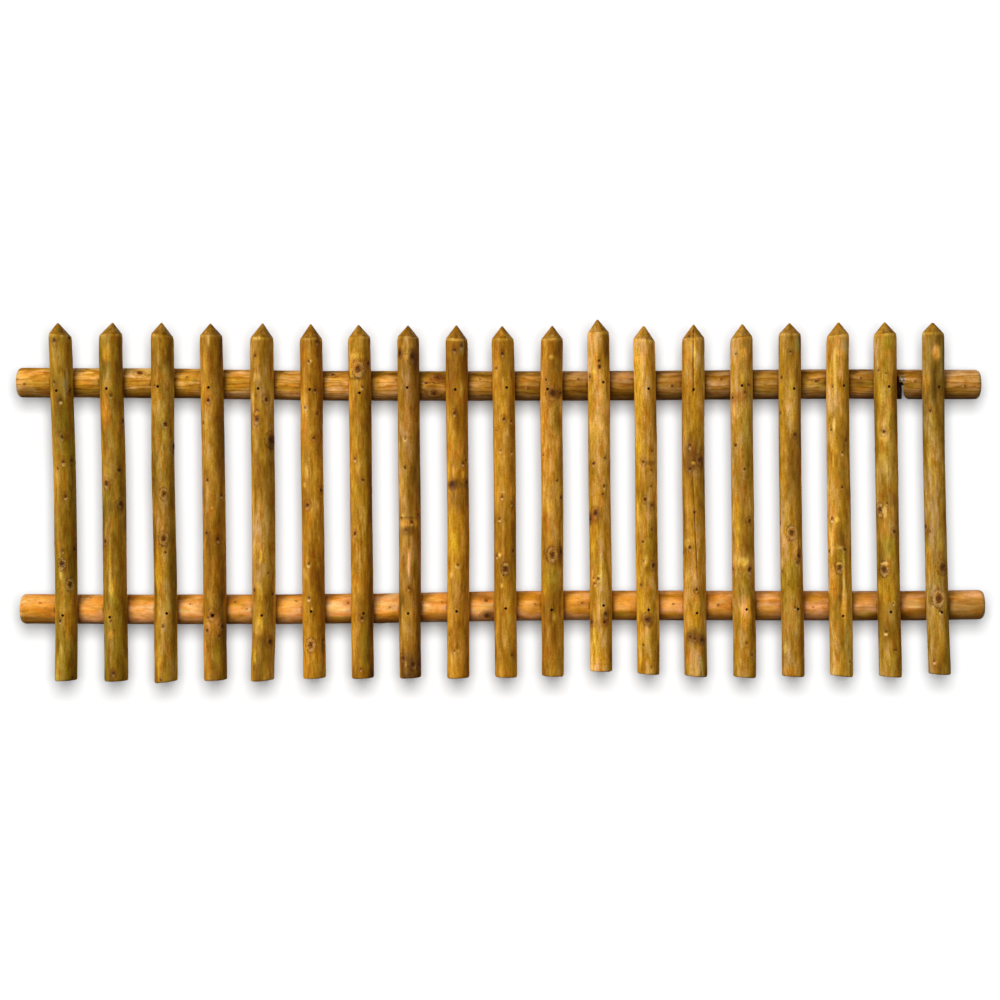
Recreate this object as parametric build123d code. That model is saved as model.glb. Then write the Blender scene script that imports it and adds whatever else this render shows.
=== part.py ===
from build123d import *
import os

# Vertical slat fence panel: nineteen pointed half-round pickets screwed with
# their flat backs to the fronts of two full-round rails.
#
# Frame, in millimetres: +X runs along the rails to the right, +Y away from the
# viewer (pickets are on the -Y side), +Z up. The origin is the middle of the
# flat left end face of the bottom rail.

os.makedirs("parts", exist_ok=True)

# ---------------------------------------------------------------- dimensions
RAIL_R = 38.5            # radius of the full-round rails (77 mm, an 80 mm nominal pole)
RAIL_LENGTH = 2488.5     # both rails
TOP_RAIL_X0 = -9.8       # the top rail sits 10 mm further left: the panel is slightly racked
END_CHAMFER = 10.0       # axial length of the chamfer at each rail end
END_R = 28.5             # radius of the flat disc left at each rail end
SEAT_Y = -37.0           # plane of the flats on the rails and of the pickets' backs
SEAT_MARGIN = 2.0        # a seat flat is this much wider than the picket on each side

# centreline of each rail, (x, z): the poles are not quite straight
TOP_RAIL_LINE = [(164, 585.5), (426, 583.9), (683, 579.3), (809, 577.7),
                 (1431, 577.3), (1672, 579.0), (1923, 581.3), (2110, 582.7),
                 (2296, 581.5)]
TOP_RAIL_ENDS = (586.1, 581.3)
BOTTOM_RAIL_LINE = [(296, -1.2), (553, -1.3), (685, -0.9), (936, 1.9),
                    (1185, 6.4), (1431, 9.3), (1799, 8.9), (2172, 7.7),
                    (2296, 8.1)]
BOTTOM_RAIL_ENDS = (0.0, 11.0)

# heights of the stations at which each picket's centreline is given
STATION_Z = [680, 560, 460, 370, 280, 180, 88, -10, -80, -150]

# one row for each picket:
#   x of the centreline at each station,
#   half-width in the upper, middle and lower third,
#   tip x, height of the blunt tip, height of the cone's apex,
#   left and right shoulder heights,
#   bottom cut: height at the middle, rise from the middle to the right edge,
#   upper screw (x, z), lower screw (x, z)
PICKETS = [
    ((108.0, 110.7, 114.7, 117.6, 119.6, 121.1, 122.2, 122.8, 122.8, 122.0), (29.9, 29.0, 28.9), 100.1, 737.4, 743.6, 708.6, 700.4, -182.0, 1.4, (101.8, 562.0), (118.5, -13.7)),
    ((235.8, 238.9, 242.2, 244.7, 246.1, 246.7, 247.4, 248.9, 250.5, 251.4), (30.4, 30.8, 30.4), 241.1, 738.1, 743.4, 703.8, 707.6, -183.1, 1.2, (230.3, 567.4), (238.8, -18.0)),
    ((369.6, 370.4, 370.5, 371.2, 372.8, 375.3, 377.4, 378.2, 378.1, 379.1), (29.7, 29.5, 29.9), 366.9, 738.4, 740.0, 708.4, 698.9, -185.5, 3.5, (361.7, 572.6), (384.7, -8.6)),
    ((495.0, 497.6, 499.5, 500.8, 502.1, 503.6, 504.5, 504.7, 504.8, 506.2), (29.5, 29.6, 29.9), 492.8, 735.9, 741.3, 704.0, 703.5, -181.3, 1.8, (491.5, 570.0), (502.5, -13.7)),
    ((624.8, 626.4, 627.1, 628.5, 629.7, 630.2, 630.2, 630.4, 630.2, 627.3), (30.2, 30.0, 30.1), 627.1, 736.6, 738.5, 697.6, 697.1, -182.2, 2.6, (618.7, 567.4), (627.9, -13.7)),
    ((752.2, 753.8, 753.5, 754.4, 756.0, 757.4, 758.1, 758.7, 759.6, 761.0), (28.9, 28.6, 29.2), 750.9, 734.4, 740.3, 695.0, 695.8, -176.2, 1.5, (750.8, 564.9), (754.6, -3.4)),
    ((875.9, 878.0, 879.3, 879.9, 880.6, 882.0, 883.3, 883.9, 884.0, 885.4), (28.9, 28.4, 28.4), 873.9, 732.6, 737.7, 697.3, 700.7, -176.1, 1.4, (878.0, 556.5), (888.5, -8.6)),
    ((1002.0, 1002.9, 1003.3, 1004.4, 1005.6, 1006.5, 1006.5, 1006.1, 1006.3, 1007.6), (28.0, 28.5, 27.7), 1001.2, 730.8, 734.6, 701.2, 697.8, -175.3, 1.5, (1000.4, 570.0), (1003.0, -8.6)),
    ((1126.8, 1127.0, 1127.6, 1128.9, 1130.2, 1130.7, 1130.6, 1130.5, 1130.7, 1130.7), (28.3, 28.0, 28.4), 1125.8, 731.4, 734.1, 696.8, 692.9, -175.6, 1.3, (1123.3, 564.9), (1127.1, -3.4)),
    ((1245.5, 1247.5, 1249.0, 1250.0, 1250.6, 1250.9, 1251.1, 1251.8, 1252.6, 1253.7), (28.8, 28.4, 28.5), 1243.4, 729.2, 734.9, 696.0, 694.2, -173.7, -0.4, (1255.1, 570.0), (1252.6, 4.2)),
    ((1371.1, 1369.8, 1370.4, 1371.8, 1372.8, 1372.7, 1372.3, 1373.0, 1374.1, 1373.8), (28.6, 28.1, 28.4), 1372.3, 730.0, 734.1, 693.7, 696.0, -171.0, -0.8, (1360.1, 566.2), (1370.3, 0.4)),
    ((1491.2, 1492.5, 1492.7, 1493.2, 1494.3, 1495.9, 1497.2, 1497.7, 1497.9, 1498.3), (28.2, 28.3, 28.4), 1488.6, 745.9, 753.2, 709.9, 712.5, -158.2, -0.5, (1502.7, 583.8), (1503.5, 11.9)),
    ((1608.8, 1610.8, 1612.9, 1613.8, 1614.1, 1614.9, 1616.4, 1618.2, 1619.2, 1619.5), (28.2, 28.2, 28.6), 1607.5, 729.1, 739.3, 696.0, 689.1, -165.4, -1.8, (1618.7, 567.4), (1618.7, 0.4)),
    ((1734.9, 1735.1, 1734.6, 1735.0, 1736.1, 1737.5, 1738.6, 1739.5, 1740.4, 1741.5), (29.1, 29.1, 29.3), 1735.9, 733.2, 737.5, 694.5, 698.6, -171.0, -2.2, (1733.9, 564.9), (1742.6, -7.8)),
    ((1858.9, 1859.4, 1859.8, 1861.0, 1862.2, 1863.0, 1863.8, 1865.8, 1867.5, 1867.3), (28.8, 28.8, 29.4), 1861.2, 734.4, 739.5, 694.2, 701.4, -173.6, -1.8, (1858.0, 575.1), (1869.6, 1.7)),
    ((1983.4, 1983.3, 1983.3, 1984.2, 1985.4, 1986.8, 1988.1, 1990.0, 1991.5, 1992.0), (29.0, 28.7, 29.1), 1982.9, 736.9, 741.8, 707.9, 707.6, -171.4, -1.2, (1991.4, 567.4), (2001.7, 2.7)),
    ((2106.1, 2106.3, 2107.0, 2108.0, 2109.2, 2110.8, 2112.4, 2114.4, 2115.8, 2116.6), (29.1, 30.0, 29.9), 2109.0, 738.7, 746.2, 699.6, 707.9, -170.4, -2.8, (2119.2, 575.1), (2116.6, -15.0)),
    ((2228.4, 2229.1, 2230.7, 2232.4, 2233.9, 2235.4, 2236.9, 2238.9, 2240.6, 2242.1), (29.6, 29.3, 29.4), 2227.7, 739.7, 744.9, 705.8, 708.9, -172.2, -1.9, (2234.4, 572.6), (2239.2, -5.0)),
    ((2351.9, 2352.9, 2353.2, 2354.5, 2356.4, 2358.6, 2360.6, 2363.3, 2365.9, 2368.5), (28.6, 28.2, 28.7), 2351.2, 737.9, 745.7, 711.7, 708.9, -165.9, -1.3, (2362.6, 571.3), (2370.0, -6.0)),
]

# screws: one through each picket into each rail, with its head sunk in a bore
HEAD_R = 3.1
HEAD_H = 3.5
SHANK_R = 2.2
BORE_R = 3.4             # bore that the head sits in
CLEAR_R = 2.6            # clearance hole through the rest of the picket
PILOT_R = 2.5            # hole in the rail
HEAD_SEAT_Y = -54.0      # the head bears on the step between bore and clearance hole
SHANK_END_Y = 8.0
POINT_Y = 14.0
PILOT_END_Y = 16.0

# old damage to the top rail between the last two pickets: a slit open from
# below, right through the pole, and a hollow in its front beside picket 18
SLIT_X = 2281.5
SLIT_Z = 581.5
SLIT = [(-3.4, -50), (-3.2, -20), (-2.4, 0), (1.4, 0), (1.9, -18), (3.2, -27),
        (6.5, -33.5), (12.0, -37.0), (13.0, -50)]
SLIT_SLANT = 0.19        # the slit runs this much to the right per mm of depth
HOLLOW = [(2257.0, 2274.0, -45.0, -24.0, 540.0, 585.0),   # x0, x1, y0, y1, z0, z1
          (2257.0, 2265.0, -45.0, -29.0, 580.0, 600.0)]


def lerp_line(line, x):
    """z of a centreline given as (x, z) points, at x."""
    for (xa, za), (xb, zb) in zip(line, line[1:]):
        if x <= xb:
            return za + (zb - za) * (x - xa) / (xb - xa)
    return line[-1][1]


def centre_x(row, z):
    """x of a picket's centreline at height z."""
    st = list(zip(STATION_Z, row[0]))
    if z >= st[0][0]:
        return st[0][1]
    for (za, xa), (zb, xb) in zip(st, st[1:]):
        if z >= zb:
            return xa + (xb - xa) * (z - za) / (zb - za)
    return st[-1][1]


def half_width(row, z):
    """half the picket's width at height z."""
    a, b, c = row[1]
    if z >= 280:
        t = min(1.0, (z - 280) / 340.0)
        return b + (a - b) * t
    t = min(1.0, (280 - z) / 330.0)
    return b + (c - b) * t


def d_section(x, hw, z_left, z_right):
    """Half-round section: flat back in the seat plane, round front."""
    left = (x - hw, SEAT_Y, z_left)
    right = (x + hw, SEAT_Y, z_right)
    front = (x, SEAT_Y - hw, (z_left + z_right) / 2.0)
    return make_face(Wire([ThreePointArc(left, front, right).edge(),
                           Line(right, left).edge()]))


def bore(x, z, y0, y1, r):
    """Cylinder along Y from y0 to y1."""
    plane = Plane(origin=(x, y0, z), x_dir=(1, 0, 0), z_dir=(0, 1, 0))
    return plane * Cylinder(r, y1 - y0, align=(Align.CENTER, Align.CENTER, Align.MIN))


def picket(row):
    tip_x, tip_z, apex_z, sh_l, sh_r, bot_z, bot_rise = row[2:9]
    sections = []
    x, hw = centre_x(row, bot_z), half_width(row, bot_z)
    sections.append(d_section(x, hw, bot_z - bot_rise, bot_z + bot_rise))
    for z in reversed(STATION_Z):
        x, hw = centre_x(row, z), half_width(row, z)
        sections.append(d_section(x, hw, z, z))
    x, hw = centre_x(row, 700), half_width(row, 700)
    x += (tip_x - x) * 0.15
    sections.append(d_section(x, hw, sh_l, sh_r))
    shoulder = (sh_l + sh_r) / 2.0
    tip_r = max(4.0, hw * (apex_z - tip_z) / (apex_z - shoulder))
    sections.append(d_section(tip_x, tip_r, tip_z, tip_z))
    body = loft(sections, ruled=True)
    cuts = []
    for x, z in (row[9], row[10]):
        cuts.append(bore(x, z, SEAT_Y - 45.0, HEAD_SEAT_Y, BORE_R))
        cuts.append(bore(x, z, HEAD_SEAT_Y, SEAT_Y + 5.0, CLEAR_R))
    return body - cuts


def rail(x0, line, ends, screws):
    x1 = x0 + RAIL_LENGTH
    full = [(x0, ends[0])] + line + [(x1, ends[1])]
    stations = [(x0, ends[0], END_R),
                (x0 + END_CHAMFER, lerp_line(full, x0 + END_CHAMFER), RAIL_R)]
    stations += [(x, z, RAIL_R) for x, z in line]
    stations += [(x1 - END_CHAMFER, lerp_line(full, x1 - END_CHAMFER), RAIL_R),
                 (x1, ends[1], END_R)]
    sections = [Plane(origin=(x, 0, z), x_dir=(0, 1, 0), z_dir=(1, 0, 0)) * Circle(r)
                for x, z, r in stations]
    body = loft(sections, ruled=True)
    seats, holes = [], []
    for row, (sx, sz) in zip(PICKETS, screws):
        z = lerp_line(full, sx)
        x, hw = centre_x(row, z), half_width(row, z) + SEAT_MARGIN
        seat = Box(2 * hw, 12.0, 60.0, align=(Align.CENTER, Align.MAX, Align.CENTER))
        seats.append(Pos(x, SEAT_Y, z) * seat)
        holes.append(bore(sx, sz, SEAT_Y - 5.0, PILOT_END_Y, PILOT_R))
    return body - seats - holes


def damage():
    pts = [(SLIT_X + dx, 0, SLIT_Z + dz) for dx, dz in SLIT]
    face = make_face(Wire([Line(a, b).edge() for a, b in zip(pts, pts[1:] + pts[:1])]))
    face = Pos(-60.0 * SLIT_SLANT, -60.0, 0) * face
    cuts = [extrude(face, amount=120.0 * (1 + SLIT_SLANT ** 2) ** 0.5, dir=(SLIT_SLANT, 1, 0))]
    for x0, x1, y0, y1, z0, z1 in HOLLOW:
        cuts.append(Pos((x0 + x1) / 2, (y0 + y1) / 2, (z0 + z1) / 2) * Box(x1 - x0, y1 - y0, z1 - z0))
    return cuts


def screw(x, z):
    head = bore(x, z, HEAD_SEAT_Y - HEAD_H, HEAD_SEAT_Y, HEAD_R)
    shank = bore(x, z, HEAD_SEAT_Y, SHANK_END_Y, SHANK_R)
    plane = Plane(origin=(x, SHANK_END_Y, z), x_dir=(1, 0, 0), z_dir=(0, 1, 0))
    point = plane * Cone(SHANK_R, 0.4, POINT_Y - SHANK_END_Y,
                         align=(Align.CENTER, Align.CENTER, Align.MIN))
    return head + shank + point


def single(shape):
    solids = shape.solids()
    if len(solids) != 1:
        raise ValueError(f"expected one solid, got {len(solids)}")
    return solids[0]


for i, row in enumerate(PICKETS, 1):
    export_step(single(picket(row)), f"parts/picket_{i:02d}.step")

top = rail(TOP_RAIL_X0, TOP_RAIL_LINE, TOP_RAIL_ENDS, [r[9] for r in PICKETS])
export_step(single(top - damage()), "parts/top_rail.step")
bottom = rail(0.0, BOTTOM_RAIL_LINE, BOTTOM_RAIL_ENDS, [r[10] for r in PICKETS])
export_step(single(bottom), "parts/bottom_rail.step")

for name, k in (("top_rail_screws", 9), ("bottom_rail_screws", 10)):
    screws = [single(screw(*row[k])) for row in PICKETS]
    export_step(Compound(children=screws), f"parts/{name}.step")
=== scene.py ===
import math

import bpy
import numpy as np
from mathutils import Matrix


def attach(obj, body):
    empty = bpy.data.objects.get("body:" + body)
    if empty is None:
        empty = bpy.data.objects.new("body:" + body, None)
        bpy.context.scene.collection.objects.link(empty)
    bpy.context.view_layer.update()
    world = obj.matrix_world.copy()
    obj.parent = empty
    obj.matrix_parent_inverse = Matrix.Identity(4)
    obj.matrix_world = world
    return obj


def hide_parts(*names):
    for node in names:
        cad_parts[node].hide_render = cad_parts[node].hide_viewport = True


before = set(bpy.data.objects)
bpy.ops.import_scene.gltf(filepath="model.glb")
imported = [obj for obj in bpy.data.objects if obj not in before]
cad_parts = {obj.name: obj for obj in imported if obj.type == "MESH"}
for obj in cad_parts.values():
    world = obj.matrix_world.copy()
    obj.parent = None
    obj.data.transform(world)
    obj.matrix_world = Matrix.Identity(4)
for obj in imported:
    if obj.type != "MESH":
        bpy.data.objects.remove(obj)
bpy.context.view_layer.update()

# Looks of a picket fence panel: nineteen pointed half-round pickets on two
# round rails, in weathered, golden, pressure-treated softwood.
# Millimetres are used while a piece is worked out, metres in its mesh.

# ------------------------------------------------------- sizes, as in the part
RAIL_R = 38.5
RAIL_LENGTH = 2488.5
TOP_RAIL_X0 = -9.8
END_CHAMFER = 10.0
END_R = 28.5
SEAT_Y = -37.0
SEAT_MARGIN = 2.0
TOP_RAIL_LINE = [(164, 585.5), (426, 583.9), (683, 579.3), (809, 577.7),
                 (1431, 577.3), (1672, 579.0), (1923, 581.3), (2110, 582.7),
                 (2296, 581.5)]
TOP_RAIL_ENDS = (586.1, 581.3)
BOTTOM_RAIL_LINE = [(296, -1.2), (553, -1.3), (685, -0.9), (936, 1.9),
                    (1185, 6.4), (1431, 9.3), (1799, 8.9), (2172, 7.7),
                    (2296, 8.1)]
BOTTOM_RAIL_ENDS = (0.0, 11.0)
STATION_Z = [680, 560, 460, 370, 280, 180, 88, -10, -80, -150]
# centreline x at each station; half-width upper, middle, lower; tip x; height of
# the blunt tip and of the apex; left and right shoulder; foot cut and its rise;
# upper and lower screw
PICKETS = [
    ((108.0, 110.7, 114.7, 117.6, 119.6, 121.1, 122.2, 122.8, 122.8, 122.0), (29.9, 29.0, 28.9), 100.1, 737.4, 743.6, 708.6, 700.4, -182.0, 1.4, (101.8, 562.0), (118.5, -13.7)),
    ((235.8, 238.9, 242.2, 244.7, 246.1, 246.7, 247.4, 248.9, 250.5, 251.4), (30.4, 30.8, 30.4), 241.1, 738.1, 743.4, 703.8, 707.6, -183.1, 1.2, (230.3, 567.4), (238.8, -18.0)),
    ((369.6, 370.4, 370.5, 371.2, 372.8, 375.3, 377.4, 378.2, 378.1, 379.1), (29.7, 29.5, 29.9), 366.9, 738.4, 740.0, 708.4, 698.9, -185.5, 3.5, (361.7, 572.6), (384.7, -8.6)),
    ((495.0, 497.6, 499.5, 500.8, 502.1, 503.6, 504.5, 504.7, 504.8, 506.2), (29.5, 29.6, 29.9), 492.8, 735.9, 741.3, 704.0, 703.5, -181.3, 1.8, (491.5, 570.0), (502.5, -13.7)),
    ((624.8, 626.4, 627.1, 628.5, 629.7, 630.2, 630.2, 630.4, 630.2, 627.3), (30.2, 30.0, 30.1), 627.1, 736.6, 738.5, 697.6, 697.1, -182.2, 2.6, (618.7, 567.4), (627.9, -13.7)),
    ((752.2, 753.8, 753.5, 754.4, 756.0, 757.4, 758.1, 758.7, 759.6, 761.0), (28.9, 28.6, 29.2), 750.9, 734.4, 740.3, 695.0, 695.8, -176.2, 1.5, (750.8, 564.9), (754.6, -3.4)),
    ((875.9, 878.0, 879.3, 879.9, 880.6, 882.0, 883.3, 883.9, 884.0, 885.4), (28.9, 28.4, 28.4), 873.9, 732.6, 737.7, 697.3, 700.7, -176.1, 1.4, (878.0, 556.5), (888.5, -8.6)),
    ((1002.0, 1002.9, 1003.3, 1004.4, 1005.6, 1006.5, 1006.5, 1006.1, 1006.3, 1007.6), (28.0, 28.5, 27.7), 1001.2, 730.8, 734.6, 701.2, 697.8, -175.3, 1.5, (1000.4, 570.0), (1003.0, -8.6)),
    ((1126.8, 1127.0, 1127.6, 1128.9, 1130.2, 1130.7, 1130.6, 1130.5, 1130.7, 1130.7), (28.3, 28.0, 28.4), 1125.8, 731.4, 734.1, 696.8, 692.9, -175.6, 1.3, (1123.3, 564.9), (1127.1, -3.4)),
    ((1245.5, 1247.5, 1249.0, 1250.0, 1250.6, 1250.9, 1251.1, 1251.8, 1252.6, 1253.7), (28.8, 28.4, 28.5), 1243.4, 729.2, 734.9, 696.0, 694.2, -173.7, -0.4, (1255.1, 570.0), (1252.6, 4.2)),
    ((1371.1, 1369.8, 1370.4, 1371.8, 1372.8, 1372.7, 1372.3, 1373.0, 1374.1, 1373.8), (28.6, 28.1, 28.4), 1372.3, 730.0, 734.1, 693.7, 696.0, -171.0, -0.8, (1360.1, 566.2), (1370.3, 0.4)),
    ((1491.2, 1492.5, 1492.7, 1493.2, 1494.3, 1495.9, 1497.2, 1497.7, 1497.9, 1498.3), (28.2, 28.3, 28.4), 1488.6, 745.9, 753.2, 709.9, 712.5, -158.2, -0.5, (1502.7, 583.8), (1503.5, 11.9)),
    ((1608.8, 1610.8, 1612.9, 1613.8, 1614.1, 1614.9, 1616.4, 1618.2, 1619.2, 1619.5), (28.2, 28.2, 28.6), 1607.5, 729.1, 739.3, 696.0, 689.1, -165.4, -1.8, (1618.7, 567.4), (1618.7, 0.4)),
    ((1734.9, 1735.1, 1734.6, 1735.0, 1736.1, 1737.5, 1738.6, 1739.5, 1740.4, 1741.5), (29.1, 29.1, 29.3), 1735.9, 733.2, 737.5, 694.5, 698.6, -171.0, -2.2, (1733.9, 564.9), (1742.6, -7.8)),
    ((1858.9, 1859.4, 1859.8, 1861.0, 1862.2, 1863.0, 1863.8, 1865.8, 1867.5, 1867.3), (28.8, 28.8, 29.4), 1861.2, 734.4, 739.5, 694.2, 701.4, -173.6, -1.8, (1858.0, 575.1), (1869.6, 1.7)),
    ((1983.4, 1983.3, 1983.3, 1984.2, 1985.4, 1986.8, 1988.1, 1990.0, 1991.5, 1992.0), (29.0, 28.7, 29.1), 1982.9, 736.9, 741.8, 707.9, 707.6, -171.4, -1.2, (1991.4, 567.4), (2001.7, 2.7)),
    ((2106.1, 2106.3, 2107.0, 2108.0, 2109.2, 2110.8, 2112.4, 2114.4, 2115.8, 2116.6), (29.1, 30.0, 29.9), 2109.0, 738.7, 746.2, 699.6, 707.9, -170.4, -2.8, (2119.2, 575.1), (2116.6, -15.0)),
    ((2228.4, 2229.1, 2230.7, 2232.4, 2233.9, 2235.4, 2236.9, 2238.9, 2240.6, 2242.1), (29.6, 29.3, 29.4), 2227.7, 739.7, 744.9, 705.8, 708.9, -172.2, -1.9, (2234.4, 572.6), (2239.2, -5.0)),
    ((2351.9, 2352.9, 2353.2, 2354.5, 2356.4, 2358.6, 2360.6, 2363.3, 2365.9, 2368.5), (28.6, 28.2, 28.7), 2351.2, 737.9, 745.7, 711.7, 708.9, -165.9, -1.3, (2362.6, 571.3), (2370.0, -6.0)),
]
BORE_R = 3.4
HEAD_SEAT_Y = -54.0
FRONT_Y = -67.7          # nothing stands further forward than this
SLIT_X = 2281.5
SLIT_Z = 581.5
SLIT_SLANT = 0.19

# ------------------------------------------------- the reference view's camera
CAMERA = (1237.9, -5500.0, 282.0)
FOCAL_PX = 2123.0
FRONT_SCALE = 0.3906     # pixels for each millimetre at the pickets' fronts
RAIL_SCALE = 0.3885


def at(col, row, scale=FRONT_SCALE):
    """x and z, in mm, of a column and row of the reference view."""
    return (col - 500.0) / scale + CAMERA[0], (500.0 - row) / scale + CAMERA[2]


# ---------------------------------------------------------------------- stains
STAIN = {
    "honey": (0.500, 0.245, 0.040),
    "gold": (0.560, 0.290, 0.035),
    "yellow": (0.580, 0.320, 0.018),
    "orange": (0.530, 0.236, 0.028),
    "olive": (0.330, 0.225, 0.022),
    "green": (0.340, 0.240, 0.034),
    "tan": (0.520, 0.300, 0.105),
    "pink": (0.540, 0.290, 0.130),
    "salmon": (0.780, 0.355, 0.130),
    "peach": (0.860, 0.435, 0.190),
    "brown": (0.300, 0.140, 0.028),
    "umber": (0.170, 0.075, 0.014),
    "dark": (0.060, 0.026, 0.010),
    "red": (0.300, 0.085, 0.014),
    "cream": (0.880, 0.600, 0.260),
    "grey": (0.330, 0.290, 0.210),
    "ash": (0.440, 0.385, 0.600),
}

# one row for each picket: left stain, right stain, gain, second stain that
# drifts in along the length, and how much of it
DEEP, MID, LIGHT, PALE = 0.60, 0.74, 0.84, 1.05
TONE = [
    ("olive", "olive", LIGHT, "honey", 0.40),
    ("olive", "gold", DEEP, "gold", 0.45),
    ("honey", "tan", LIGHT, "olive", 0.35),
    ("honey", "brown", MID, "gold", 0.45),
    ("tan", "tan", LIGHT, "honey", 0.30),
    ("gold", "honey", LIGHT, "orange", 0.35),
    ("gold", "honey", MID, "orange", 0.40),
    ("tan", "brown", MID, "orange", 0.35),
    ("gold", "orange", MID, "orange", 0.35),
    ("gold", "gold", MID, "orange", 0.40),
    ("honey", "tan", LIGHT, "orange", 0.30),
    ("tan", "pink", PALE, "tan", 0.35),
    ("tan", "pink", PALE, "tan", 0.30),
    ("honey", "tan", LIGHT, "tan", 0.35),
    ("tan", "tan", MID, "honey", 0.30),
    ("tan", "honey", MID, "tan", 0.40),
    ("tan", "tan", LIGHT, "gold", 0.30),
    ("tan", "honey", MID, "olive", 0.30),
    ("tan", "tan", DEEP, "olive", 0.30),
]

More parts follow.
